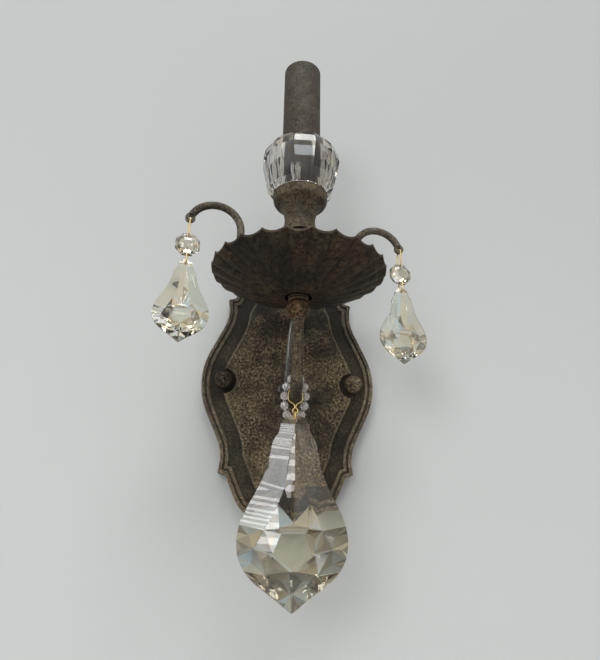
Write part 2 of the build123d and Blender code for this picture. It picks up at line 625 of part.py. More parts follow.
def fluted_dish():
    """Drip dish of thin fluted sheet with a recessed hub."""
    step = (DISH_RADIUS - DISH_RECESS_RADIUS) / (DISH_SECTIONS - 1)
    sections = [flute_section(DISH_RECESS_RADIUS + index * step) for index in range(DISH_SECTIONS)]
    flute = loft(sections, ruled=True)
    pitch = 360.0 / DISH_FLUTES
    start = -90.0 + DISH_PHASE + pitch / 2
    flutes = [Rotation(0, 0, start + index * pitch) * flute for index in range(DISH_FLUTES)]
    bowl = flutes[0].fuse(*flutes[1:])
    hub = turned([
        (STEM_HOLE, COLLAR_TOP),
        (DISH_RECESS_RADIUS, COLLAR_TOP),
        (DISH_RECESS_RADIUS, DISH_FLUTE_START_Z - DISH_FLUTE_SAG_IN),
        (DISH_RECESS_RADIUS + DISH_RECESS_WALL, DISH_FLUTE_START_Z - DISH_FLUTE_SAG_IN),
        (DISH_RECESS_RADIUS + DISH_RECESS_WALL, DISH_HUB_TOP),
        (STEM_HOLE, DISH_HUB_TOP),
    ])
    inside = ring_bore(DISH_RECESS_RADIUS, 0, COLLAR_TOP)
    return STEM * ((Part() + bowl - inside) + hub)


# ---------------------------------------------------------------- side arms
def side_arm(side):
    """Scrolled rod from the hub, up and over to a flattened eye."""
    arch = (SIDE_ARCH_R, SIDE_ARCH_Z)
    knee = (SIDE_ARM_LEG_R - SIDE_ARM_KNEE_RADIUS, SIDE_ARM_Z + SIDE_ARM_KNEE_RADIUS)
    flat = [
        Line((SIDE_ARM_START, SIDE_ARM_Z), (knee[0], SIDE_ARM_Z)),
        arc_about(knee, SIDE_ARM_KNEE_RADIUS, -90.0, 0.0),
        Line((SIDE_ARM_LEG_R, knee[1]), (SIDE_ARM_LEG_R, SIDE_ARCH_Z)),
        arc_about(arch, SIDE_ARCH_RADIUS, 180.0, SIDE_ARCH_END),
    ]
    bar = swept_wire(Plane.XZ * one_wire(flat), SIDE_ARM_RADIUS)
    eye = eye_place()
    disc = Plane(origin=eye, z_dir=(0, 1, 0)) * Cylinder(EYE_RADIUS, EYE_THICKNESS)
    disc -= Plane(origin=eye, z_dir=(0, 1, 0)) * Cylinder(EYE_HOLE_RADIUS, 4 * EYE_THICKNESS)
    return side_frame(side) * (bar + disc)


def eye_place():
    """Middle of a side arm's eye in the arm's own frame."""
    x, z = polar((SIDE_ARCH_R, SIDE_ARCH_Z), SIDE_ARCH_RADIUS, SIDE_EYE_ANGLE)
    return Vector(x, 0, z)


# ---------------------------------------------------------------- crystal cup
def cup_face(radius, height):
    """Level section of the faceted cup, with a flat towards the front."""
    corner = radius / math.cos(math.pi / CUP_FACETS)
    turn = 180.0 / CUP_FACETS
    return Pos(0, 0, height) * RegularPolygon(corner, CUP_FACETS, rotation=turn)


def crystal_cup():
    """Cut-glass cup: twelve facets in four tiers and a deep bore."""
    tiers = [
        (CUP_BASE_RADIUS, 0.0),
        (CUP_HEEL_RADIUS, CUP_HEEL_HEIGHT),
        (CUP_LOW_RADIUS, CUP_LOW_HEIGHT),
        (CUP_WIDE_RADIUS, CUP_WIDE_HEIGHT),
        (CUP_TOP_RADIUS, CUP_HEIGHT),
    ]
    sections = [cup_face(radius, URN_TOP + height) for radius, height in tiers]
    cup = loft(sections, ruled=True)
    cup -= ring_bore(CUP_INNER_RADIUS, CUP_FLOOR, URN_TOP + 2 * CUP_HEIGHT)
    cup -= ring_bore(STEM_HOLE + HOLE_EASE, URN_TOP, CUP_FLOOR)
    return STEM * cup


def cup_washer():
    """Soft washer between the lock nut and the glass."""
    return STEM * ring(CUP_WASHER_RADIUS, STEM_HOLE, CUP_FLOOR, CUP_WASHER_THICKNESS)


def cup_nut():
    """Lock nut that clamps the whole stem."""
    return STEM * Pos(0, 0, CUP_NUT_Z) * hex_nut(CUP_NUT_ACROSS_FLATS, CUP_NUT_HEIGHT, STEM_HOLE)


# ---------------------------------------------------------------- candle
def candle_sleeve():
    """Tube that slips over the lamp socket and stands in the crystal cup."""
    sleeve = ring(SLEEVE_RADIUS, SLEEVE_RADIUS - SLEEVE_WALL, CUP_FLOOR, SLEEVE_LENGTH)
    rims = sleeve.faces().sort_by(Axis.Z)[-1].edges()
    return STEM * fillet(rims, SLEEVE_EDGE_RADIUS)


def socket_bracket():
    """Bent strip on the threaded tube that carries the socket at its side."""
    disc = ring(BRACKET_DISC_RADIUS, STEM_HOLE, CUP_NUT_TOP, BRACKET_THICKNESS)
    tall = SOCKET_Z + BRACKET_GRIP - CUP_NUT_TOP
    strip = Pos(0, SOCKET_RADIUS, CUP_NUT_TOP) * Box(
        BRACKET_WIDTH, BRACKET_THICKNESS, tall, align=(Align.CENTER, Align.MIN, Align.MIN))
    tab = Pos(0, 0, CUP_NUT_TOP) * Box(
        BRACKET_WIDTH, SOCKET_RADIUS + BRACKET_THICKNESS, BRACKET_THICKNESS,
        align=(Align.CENTER, Align.MIN, Align.MIN))
    tab -= ring_bore(STEM_HOLE, CUP_NUT_TOP, CUP_NUT_TOP + BRACKET_THICKNESS)
    return STEM * (disc + tab + strip)


def socket_body():
    """Insulating body of the small lamp socket."""
    ledge_top = SOCKET_Z + SOCKET_FLOOR + SHELL_LEDGE
    body = ring(SOCKET_RADIUS, SHELL_RADIUS + SLIP, ledge_top, SOCKET_TOP - ledge_top)
    body += ring(SOCKET_RADIUS, SHELL_LEDGE_BORE, SOCKET_Z + SOCKET_FLOOR, SHELL_LEDGE)
    floor = ring(SOCKET_RADIUS, LEAD_HOLE_RADIUS, SOCKET_Z, SOCKET_FLOOR)
    flat = Pos(0, SOCKET_RADIUS, SOCKET_Z) * Box(
        BRACKET_WIDTH, 2 * SLIP, 2 * SOCKET_LENGTH)
    return STEM * (body + floor - flat)


def screw_shell():
    """Threaded metal shell that takes the lamp's cap."""
    bottom = SOCKET_Z + SOCKET_FLOOR + SHELL_LEDGE
    height = SOCKET_TOP - SHELL_DROP - bottom
    shell = ring(SHELL_RADIUS, SHELL_RADIUS - SHELL_THICKNESS, bottom, height)
    return STEM * shell


def centre_contact():
    """Button that touches the foot of the lamp's cap."""
    button = Cylinder(CONTACT_RADIUS, CONTACT_HEIGHT, align=(Align.CENTER, Align.CENTER, Align.MIN))
    button = fillet(button.edges().sort_by(Axis.Z)[-1], CONTACT_ROUND)
    return STEM * Pos(0, 0, SOCKET_Z + SOCKET_FLOOR) * button


# ---------------------------------------------------------------- lamp lead
# Route of the lead: from the socket down the threaded tube, out of the ball,
# down behind the arm and into the backplate.
LEAD_ROUTE = [
    (0.0, -STEM_STANDOFF, SOCKET_Z + SOCKET_FLOOR),
    (0.0, -STEM_STANDOFF, STEM_TUBE_Z + LEAD_TURN_RISE),
    (-3.3, -69.7, 22.3),
    (-4.5, -69.0, 8.0),
    (-4.9, -67.8, -4.5),
    (-5.1, -60.5, -12.6),
    (-5.3, -45.0, -12.0),
    (-5.3, -28.0, -5.4),
    (LEAD_PLATE_X, -PANEL_FRONT - LEAD_TURN_OUT, LEAD_PLATE_Z),
    (LEAD_PLATE_X, -LEAD_BACK_END, LEAD_PLATE_Z),
]


def lead_radii():
    """Largest easy bend at each corner of the lead's route."""
    radii = []
    for before, corner, after in zip(LEAD_ROUTE, LEAD_ROUTE[1:], LEAD_ROUTE[2:]):
        arrive = Vector(*corner) - Vector(*before)
        leave = Vector(*after) - Vector(*corner)
        turn = math.radians(arrive.get_angle(leave))
        radii.append(LEAD_BEND_SHARE * min(arrive.length, leave.length) / math.tan(turn / 2))
    return radii


def lamp_lead():
    """Insulated lead, held by the stem, the ball and the bushing."""
    radii = lead_radii()
    print("lead bend radii", [round(radius, 1) for radius in radii])
    path = Wire(FilletPolyline(*LEAD_ROUTE, radius=radii).edges())
    lead = swept_wire(path, LEAD_RADIUS)
    print("lead volume", round(lead.volume, 1), "expected", round(math.pi * LEAD_RADIUS ** 2 * path.length, 1))
    return lead


def lead_bushing():
    """Lipped bushing that lines the lead's hole in the plate."""
    sleeve = ring(BUSHING_RADIUS, LEAD_RADIUS + SLIP, HOLLOW_DEPTH, PANEL_FRONT - HOLLOW_DEPTH)
    lip = ring(BUSHING_LIP_RADIUS, LEAD_RADIUS + SLIP, PANEL_FRONT, BUSHING_LIP)
    return off_wall(Pos(LEAD_PLATE_X, LEAD_PLATE_Z) * (sleeve + lip))


# ---------------------------------------------------------------- wire links
def wire_link(top, bottom, radius):
    """Long closed link in the plane X = 0 through two hole centres, one above the other."""
    outline = SlotOverall((top - bottom).length, 2 * LINK_HALF_WIDTH, rotation=90)
    place = Plane(origin=(top + bottom) * 0.5, x_dir=(0, 1, 0), z_dir=(1, 0, 0))
    return swept_wire((place * outline).wire(), radius)


def cross_hole(centre, radius, reach):
    """Cylinder along Y through a point."""
    return Plane(origin=centre, z_dir=(0, 1, 0)) * Cylinder(radius, reach)


def upper_link(side):
    """Wire link from the side arm's eye to the octagon."""
    top = eye_place()
    link = wire_link(top, top - Vector(0, 0, UPPER_LINK_SPAN), LINK_WIRE_RADIUS)
    return side_frame(side) * link


def lower_link(side):
    """Wire link from the octagon to the drop."""
    top = octagon_place() - Vector(0, 0, OCTAGON_WIDTH / 2 - OCTAGON_HOLE_INSET)
    link = wire_link(top, top - Vector(0, 0, LOWER_LINK_SPAN), LINK_WIRE_RADIUS)
    return side_frame(side) * link


def octagon_place():
    """Middle of the octagon in the side arm's frame."""
    return eye_place() - Vector(0, 0, UPPER_LINK_SPAN + OCTAGON_WIDTH / 2 - OCTAGON_HOLE_INSET)


def small_drop_hole():
    """Middle of the small drop's hole in the side arm's frame."""
    return octagon_place() - Vector(0, 0, OCTAGON_WIDTH / 2 - OCTAGON_HOLE_INSET + LOWER_LINK_SPAN)


# ---------------------------------------------------------------- crystals
def eight_sides(across_flats):
    """Octagon with a flat at the top."""
    return RegularPolygon(across_flats / 2 / math.cos(math.pi / 8), 8, rotation=22.5)


def octagon(side):
    """Eight-sided crystal with a bevel on each face and two holes."""
    half_edge = OCTAGON_EDGE / 2
    half = OCTAGON_THICKNESS / 2
    stone = extrude(eight_sides(OCTAGON_WIDTH), half_edge, both=True)
    for face in (1, -1):
        rim = Pos(0, 0, face * half_edge) * eight_sides(OCTAGON_WIDTH)
        table = Pos(0, 0, face * half) * eight_sides(OCTAGON_TABLE)
        stone += loft([rim.face(), table.face()], ruled=True)
    stone = Plane(origin=octagon_place(), x_dir=(1, 0, 0), z_dir=(0, -1, 0)) * stone
    for end in (1, -1):
        hole = octagon_place() + Vector(0, 0, end * (OCTAGON_WIDTH / 2 - OCTAGON_HOLE_INSET))
        stone -= cross_hole(hole, DROP_HOLE_RADIUS, 2 * OCTAGON_THICKNESS)
    return side_frame(side) * stone


def drop_face(length, width, scale):
    """Silhouette of a drop, shrunk about its belly; the top is at height 0."""
    half = width / 2
    belly = -DROP_BELLY_AT * length

    def place(across, down):
        return (scale * across * half, belly + scale * (-down * length - belly))

    edges = [
        ThreePointArc(place(-DROP_HEAD, DROP_HEAD_AT), place(0, 0), place(DROP_HEAD, DROP_HEAD_AT)),
    ]
    for side in (1, -1):
        head = place(side * DROP_HEAD, DROP_HEAD_AT)
        collar = place(side * DROP_COLLAR, DROP_COLLAR_AT)
        shoulder = place(side * DROP_SHOULDER, DROP_SHOULDER_AT)
        widest = place(side, DROP_BELLY_AT)
        ogee = place(side * DROP_OGEE, DROP_OGEE_AT)
        tip = place(side * DROP_TIP, 1)
        edges.append(Line(head, collar))
        edges.append(Spline(collar, shoulder, widest, tangents=[(0, -1), (0, -1)]))
        edges.append(Spline(widest, ogee, tip, tangents=[(0, -1), (-side * DROP_TIP_LEAN, -1)]))
    edges.append(Line(place(-DROP_TIP, 1), place(DROP_TIP, 1)))
    return Face(one_wire(edges))


def drop(length, width, thickness):
    """Cut-glass drop in the plane Y = 0 with its top at Z = 0."""
    half_edge = DROP_EDGE / 2
    silhouette = drop_face(length, width, 1.0)
    stone = extrude(silhouette, half_edge, both=True)
    for face in (1, -1):
        rim = Pos(0, 0, face * half_edge) * silhouette
        table = Pos(0, 0, face * thickness / 2) * drop_face(length, width, DROP_TABLE)
        stone += loft([rim, table], ruled=True)
    return Plane.XZ * stone


def small_drop(side):
    """Small drop on the side arm's chain."""
    hole = small_drop_hole()
    stone = Pos(hole.X, 0, hole.Z + SMALL_DROP_HOLE_INSET) * drop(
        SMALL_DROP_LENGTH, SMALL_DROP_WIDTH, SMALL_DROP_THICKNESS)
    stone -= cross_hole(hole, DROP_HOLE_RADIUS, 2 * SMALL_DROP_THICKNESS)
    return side_frame(side) * stone


# ---------------------------------------------------------------- garland
def garland_point(turn):
    """Point on the garland's oval; a turn of 0 is its foot and half a turn its top."""
    angle = 2 * math.pi * turn
    lift = (1 - math.cos(angle)) / 2
    y = GARLAND_FOOT_Y + lift * (GARLAND_TOP_Y - GARLAND_FOOT_Y)
    z = GARLAND_FOOT_Z + lift * (GARLAND_TOP_Z - GARLAND_FOOT_Z)
    return Vector(GARLAND_HALF_WIDTH * math.sin(angle), y, z)


def garland_turns():
    """Shares of a turn that space the beads evenly round the oval."""
    points = [garland_point(index / GARLAND_STEPS) for index in range(GARLAND_STEPS + 1)]
    lengths = [0.0]
    for before, after in zip(points, points[1:]):
        lengths.append(lengths[-1] + (after - before).length)
    turns = []
    for bead in range(BEADS):
        goal = lengths[-1] * bead / BEADS
        index = next(i for i, length in enumerate(lengths) if length >= goal)
        turns.append(index / GARLAND_STEPS)
    return turns


def bead_frames():
    """Place and threading direction of each bead."""
    places = [garland_point(turn) for turn in garland_turns()]
    frames = []
    for index, place in enumerate(places):
        before = places[index - 1]
        after = places[(index + 1) % BEADS]
        frames.append((place, (after - before).normalized()))
    return frames


def garland_beads():
    """Loop of small glass beads slung round the low bend of the arm."""
    beads = []
    for place, heading in bead_frames():
        frame = Plane(origin=place, z_dir=heading)
        bead = frame * Sphere(BEAD_RADIUS)
        bead -= frame * Cylinder(BEAD_BORE, 3 * BEAD_RADIUS)
        beads.append(bead.solid())
    return Compound(beads)


def garland_wire():
    """Thin wire that the beads are strung on."""
    corners = []
    for place, heading in bead_frames():
        corners.append(place - heading * BEAD_RADIUS)
        corners.append(place + heading * BEAD_RADIUS)
    return swept_wire(Polyline(*corners, close=True), BEAD_WIRE_RADIUS, Transition.RIGHT)


# ---------------------------------------------------------------- hanger
def arm_crown_z(y):
    """Height of the low bend's inner surface above a point of the arm."""
    inner = ARM_LOW_BEND_RADIUS - ARM_RADIUS
    return ARM_LOW_BEND_Z - math.sqrt(inner ** 2 - (y - ARM_LOW_BEND_Y) ** 2)


def hanger_eye_place():
    """Middle of the small eye at the hanger's foot."""
    return Vector(0, HANGER_Y, HANGER_JOIN_Z - HANGER_TWIST - HANGER_EYE_RADIUS)


def hanger_wire():
    """Wire slung over the low bend, its legs brought together in an eye."""
    top = arm_crown_z(HANGER_Y) + HANGER_WIRE_RADIUS + HANGER_TOP_GAP
    eye = hanger_eye_place()
    centre_z = top - HANGER_HALF_WIDTH
    arch = ThreePointArc((-HANGER_HALF_WIDTH, centre_z), (0, top), (HANGER_HALF_WIDTH, centre_z))
    gap = HANGER_WIRE_RADIUS + SLIP
    reach = math.sqrt(HANGER_EYE_RADIUS ** 2 - gap ** 2)
    right, left = [], []
    for side, leg in ((1, right), (-1, left)):
        start = (side * HANGER_HALF_WIDTH, HANGER_LEG_Z)
        join = (side * gap, HANGER_JOIN_Z)
        leg.append(Line((start[0], centre_z), start))
        leg.append(Spline(start, join, tangents=[(0, -1), (0, -1)]))
        leg.append(Line(join, (side * gap, eye.Z + reach)))
    hoop = ThreePointArc((gap, eye.Z + reach), (0, eye.Z - HANGER_EYE_RADIUS), (-gap, eye.Z + reach))
    place = Plane(origin=(0, HANGER_Y, 0), x_dir=(1, 0, 0), z_dir=(0, -1, 0))
    loop = swept_wire(place * one_wire(left + [arch] + right), HANGER_WIRE_RADIUS)
    return loop + swept_wire(place * one_wire([hoop]), HANGER_WIRE_RADIUS)


def jump_link():
    """Small link between the hanger's eye and the large drop."""
    return wire_link(jump_link_top(), large_drop_hole(), LINK_WIRE_RADIUS)


def large_drop():
    """Large drop below the arm."""
    hole = large_drop_hole()
    stone = Pos(hole.X, hole.Y, hole.Z + LARGE_DROP_HOLE_INSET) * drop(
        LARGE_DROP_LENGTH, LARGE_DROP_WIDTH, LARGE_DROP_THICKNESS)
    return stone - cross_hole(hole, DROP_HOLE_RADIUS, 2 * LARGE_DROP_THICKNESS)


def jump_link_top():
    """Where the jump link's wire crosses the hanger's eye."""
    return hanger_eye_place() - Vector(0, 0, HANGER_EYE_RADIUS - HANGER_WIRE_RADIUS - LINK_WIRE_RADIUS - SLIP)


def large_drop_hole():
    """Middle of the large drop's hole."""
    return jump_link_top() - Vector(0, 0, JUMP_LINK_SPAN)


# ---------------------------------------------------------------- assembly
def all_parts():
    """Every separate piece under its own name."""
    both = (-1, 1)
    parts = {
        "backplate": backplate(),
        "mounting_strap": mounting_strap(),
        "strap_studs": Compound([stud(side).solid() for side in both]),
        "stud_nuts": Compound([stud_nut(side).solid() for side in both]),
        "ground_screw": ground_screw(),
        "cap_nut_left": cap_nut(-1),
        "cap_nut_right": cap_nut(1),
        "main_arm": main_arm(),
        "arm_washer": arm_washer(),
        "arm_nut": arm_nut(),
        "coupling_ball": coupling_ball(),
        "stem_tube": stem_tube(),
        "ringed_collar": ringed_collar(),
        "fluted_dish": fluted_dish(),
        "arm_hub": arm_hub(),
        "stem_column": stem_column(),
        "urn_cup": urn_cup(),
        "crystal_cup": crystal_cup(),
        "cup_washer": cup_washer(),
        "cup_nut": cup_nut(),
        "socket_bracket": socket_bracket(),
        "socket_body": socket_body(),
        "screw_shell": screw_shell(),
        "centre_contact": centre_contact(),
        "candle_sleeve": candle_sleeve(),
        "lamp_lead": lamp_lead(),
        "lead_bushing": lead_bushing(),
        "garland_beads": garland_beads(),
        "garland_wire": garland_wire(),
        "hanger_wire": hanger_wire(),
        "jump_link": jump_link(),
        "large_drop": large_drop(),
    }
    for side in SIDES:
        parts["side_arm_" + side] = side_arm(side)
        parts["upper_link_" + side] = upper_link(side)
        parts["octagon_" + side] = octagon(side)
        parts["lower_link_" + side] = lower_link(side)
        parts["small_drop_" + side] = small_drop(side)
    return parts


os.makedirs("parts", exist_ok=True)
for name, shape in all_parts().items():
    export_step(shape, os.path.join("parts", name + ".step"))
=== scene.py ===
"""Crystal wall sconce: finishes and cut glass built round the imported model.

Metres, Z up, X to the right as seen from the room. The wall is the plane Y = 0
and the room lies on its -Y side.
"""
import logging
import math
from dataclasses import dataclass, field
from enum import Enum
from typing import Any, Iterable, Mapping

import bmesh
import bpy
from mathutils import Matrix, Vector


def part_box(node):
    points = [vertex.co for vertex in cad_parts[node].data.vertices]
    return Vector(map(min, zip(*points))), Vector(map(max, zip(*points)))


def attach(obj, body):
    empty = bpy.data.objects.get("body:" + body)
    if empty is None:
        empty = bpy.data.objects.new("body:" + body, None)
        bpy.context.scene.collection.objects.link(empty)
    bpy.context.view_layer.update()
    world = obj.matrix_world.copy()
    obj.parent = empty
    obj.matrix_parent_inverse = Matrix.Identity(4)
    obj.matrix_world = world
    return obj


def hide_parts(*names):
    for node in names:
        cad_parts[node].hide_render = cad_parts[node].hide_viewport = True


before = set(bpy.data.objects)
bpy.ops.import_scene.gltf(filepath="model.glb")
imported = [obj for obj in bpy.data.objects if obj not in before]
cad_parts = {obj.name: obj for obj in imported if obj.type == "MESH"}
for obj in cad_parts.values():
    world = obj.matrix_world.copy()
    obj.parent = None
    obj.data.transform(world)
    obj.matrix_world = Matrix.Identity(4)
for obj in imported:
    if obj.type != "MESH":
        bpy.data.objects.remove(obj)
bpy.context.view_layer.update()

LOG = logging.getLogger("sconce")
Colour = tuple[float, float, float]
Point = tuple[float, float, float]
Item = bpy.types.Object
Material = bpy.types.Material
Node = bpy.types.Node
Socket = bpy.types.NodeSocket
Build = bmesh.types.BMesh
Corner = bmesh.types.BMVert

HERE: Point = (0.0, 0.0, 0.0)
SHADER_RAYS = 6
SAME_LEVEL = 0.0001
FACET_NUMBER = "facet_number"
RIM_FACETS = 7000
CENTRE_FACETS = 8000
FLANK_FACETS = 9155
LOW_FACETS = 20000
LOW_FACET_BIAS = 0.6
SCATTER = (12.9898, 4.1, 43758.5453)
# Painted reflections: share limits and facet tints, from clear and champagne through dim, blue and amber to
# dark.
PAINTED_FACET_REFLECTIONS = (
    (0.34, (1.0, 1.0, 1.0)), (0.52, (1.0, 0.91, 0.72)), (0.66, (0.52, 0.45, 0.34)),
    (0.76, (0.70, 0.86, 1.0)), (0.86, (1.0, 0.80, 0.50)), (1.0, (0.27, 0.24, 0.19)),
)


# ------------------------------------------------------------------ shader maths
class Value:
    """A number, colour or vector that a material's nodes work out."""

    def __init__(self, graph: "Graph", socket: Socket) -> None:
        """Wraps one output socket of a graph."""
        self.graph = graph
        self.socket = socket

    def _math(self, operation: str, first: Any, second: Any) -> "Value":
        """Result of one Math node on two numbers or Values."""
        made = self.graph.node("ShaderNodeMath", {"operation": operation}, {0: first, 1: second})
        return Value(self.graph, made.outputs[0])

    def __add__(self, other: Any) -> "Value":
        """Sum."""
        return self._math("ADD", self, other)

    def __radd__(self, other: Any) -> "Value":
        """Sum, number first."""
        return self._math("ADD", other, self)

    def __sub__(self, other: Any) -> "Value":
        """Difference."""
        return self._math("SUBTRACT", self, other)

    def __rsub__(self, other: Any) -> "Value":
        """Difference, number first."""
        return self._math("SUBTRACT", other, self)

    def __mul__(self, other: Any) -> "Value":
        """Product."""
        return self._math("MULTIPLY", self, other)

    def __rmul__(self, other: Any) -> "Value":
        """Product, number first."""
        return self._math("MULTIPLY", other, self)

    def above(self, low: float, high: float) -> "Value":
        """Rises smoothly along the value.

        Args:
            low: Where it leaves 0.
            high: Where it reaches 1.

        Returns:
            The mask.
        """
        settings = {"interpolation_type": "SMOOTHSTEP"}
        inputs = {0: self, 1: low, 2: high, 3: 0.0, 4: 1.0}
        return Value(self.graph, self.graph.node("ShaderNodeMapRange", settings, inputs).outputs[0])


class Graph:
    """The node tree of one material or of the room's light."""

    def __init__(self, owner: Material | bpy.types.World) -> None:
        """Empties the owner's tree.

        Args:
            owner: What the tree belongs to.
        """
        self.owner = owner
        owner.use_nodes = True
        self.tree = owner.node_tree
        self.tree.nodes.clear()
        self._place: Socket | None = None

    @classmethod
    def of(cls, name: str) -> "Graph":
        """Tree of a new material."""
        return cls(bpy.data.materials.new(name))

    def node(self, kind: str, settings: Mapping[str, Any] | None = None,
             inputs: Mapping[Any, Any] | None = None) -> Node:
        """Makes any node.

        Args:
            kind: Blender's type of the node.
            settings: Its own settings, set before its sockets.
            inputs: Values or links by socket name or number.

        Returns:
            The node.
        """
        made = self.tree.nodes.new(kind)
        for name, value in (settings or {}).items():
            setattr(made, name, value)
        for name, value in (inputs or {}).items():
            self.feed(made.inputs[name], value)
        return made

    def feed(self, socket: Socket, value: Any) -> None:
        """Links or sets one input socket.

        Args:
            socket: The input.
            value: A Value or socket to link, or a constant.
        """
        if isinstance(value, Value):
            self.tree.links.new(value.socket, socket)
        elif isinstance(value, bpy.types.NodeSocket):
            self.tree.links.new(value, socket)
        elif isinstance(value, tuple) and socket.type == "RGBA" and len(value) == 3:
            socket.default_value = (*value, 1.0)
        else:
            socket.default_value = value

    def place(self) -> Socket:
        """Object coordinates, in metres.

        Returns:
            Their socket, made once.
        """
        if self._place is None:
            self._place = self.node("ShaderNodeTexCoord").outputs["Object"]
        return self._place

    def along(self, axis: int) -> Value:
        """Object coordinate along one axis, in metres."""
        return Value(self, self.node("ShaderNodeSeparateXYZ", {}, {0: self.place()}).outputs[axis])

    def shifted(self, offset: Point, stretch: Point = (1.0, 1.0, 1.0)) -> Socket:
        """Object coordinates, moved and stretched."""
        inputs = {"Vector": self.place(), "Location": offset, "Scale": stretch}
        return self.node("ShaderNodeMapping", {}, inputs).outputs[0]

    def cloud(self, size: float, detail: float = 4.0, rough: float = 0.55,
              offset: Point = HERE, stretch: Point = (1.0, 1.0, 1.0)) -> Value:
        """Cloudy pattern.

        Args:
            size: Width of one cloud in metres.
            detail: Octaves.
            rough: Share of the finer octaves.
            offset: Where the pattern is sampled.
            stretch: Scale along each axis.

        Returns:
            A number between 0 and 1.
        """
        where = self.shifted(offset, stretch)
        inputs = {"Vector": where, "Scale": 1.0 / size, "Detail": detail, "Roughness": rough}
        return Value(self, self.node("ShaderNodeTexNoise", {}, inputs).outputs[0])

    def blend(self, low: Any, high: Any, share: Any, how: str = "MIX") -> Value:
        """Colour between two colours."""
        settings = {"data_type": "RGBA", "blend_type": how}
        return Value(self, self.node("ShaderNodeMix", settings, {0: share, 6: low, 7: high}).outputs[2])

    def hollow(self, reach: float) -> Value:
        """1 on open surface, towards 0 in corners and grooves."""
        how = {"samples": SHADER_RAYS, "only_local": False}
        return Value(self, self.node("ShaderNodeAmbientOcclusion", how, {"Distance": reach}).outputs["AO"])

    def edges(self, radius: float) -> Value:
        """Finds edges.

        Args:
            radius: How far from an edge the mask reaches.

        Returns:
            0 on flats, rising along edges.
        """
        rounded = self.node("ShaderNodeBevel", {"samples": SHADER_RAYS}, {"Radius": radius}).outputs[0]
        plain = self.node("ShaderNodeNewGeometry").outputs["Normal"]
        dot = self.node("ShaderNodeVectorMath", {"operation": "DOT_PRODUCT"}, {0: rounded, 1: plain})
        return 1.0 - Value(self, dot.outputs["Value"])

    def relief(self, height: Value, depth: float, strength: float = 1.0,
               under: Socket | None = None) -> Socket:
        """Fine relief as a normal.

        Args:
            height: Pattern from 0 to 1.
            depth: Its depth in metres.
            strength: How much of it shows.
            under: Normal that it is laid on.

        Returns:
            The normal.
        """
        inputs: dict[Any, Any] = {"Height": height, "Distance": depth, "Strength": strength}
        if under is not None:
            inputs["Normal"] = under
        return self.node("ShaderNodeBump", {}, inputs).outputs[0]

    def surface(self, inputs: Mapping[str, Any]) -> Material:
        """Closes the material with one surface.

        Args:
            inputs: Values or links of the surface's sockets.

        Returns:
            The finished material.
        """
        shader = self.node("ShaderNodeBsdfPrincipled", {}, inputs)
        self.node("ShaderNodeOutputMaterial", {}, {"Surface": shader.outputs[0]})
        return self.owner


@dataclass(frozen=True)
class Pattern:
    """Cloudy mask, 0 below its low limit and 1 above its high one."""

    size: float
    low: float
    high: float
    detail: float = 4.0
    rough: float = 0.6
    offset: Point = HERE

    def on(self, graph: Graph, scale: float = 1.0) -> Value:
        """The mask, its clouds made larger by a scale."""
        return graph.cloud(self.size * scale, self.detail, self.rough, self.offset).above(self.low, self.high)


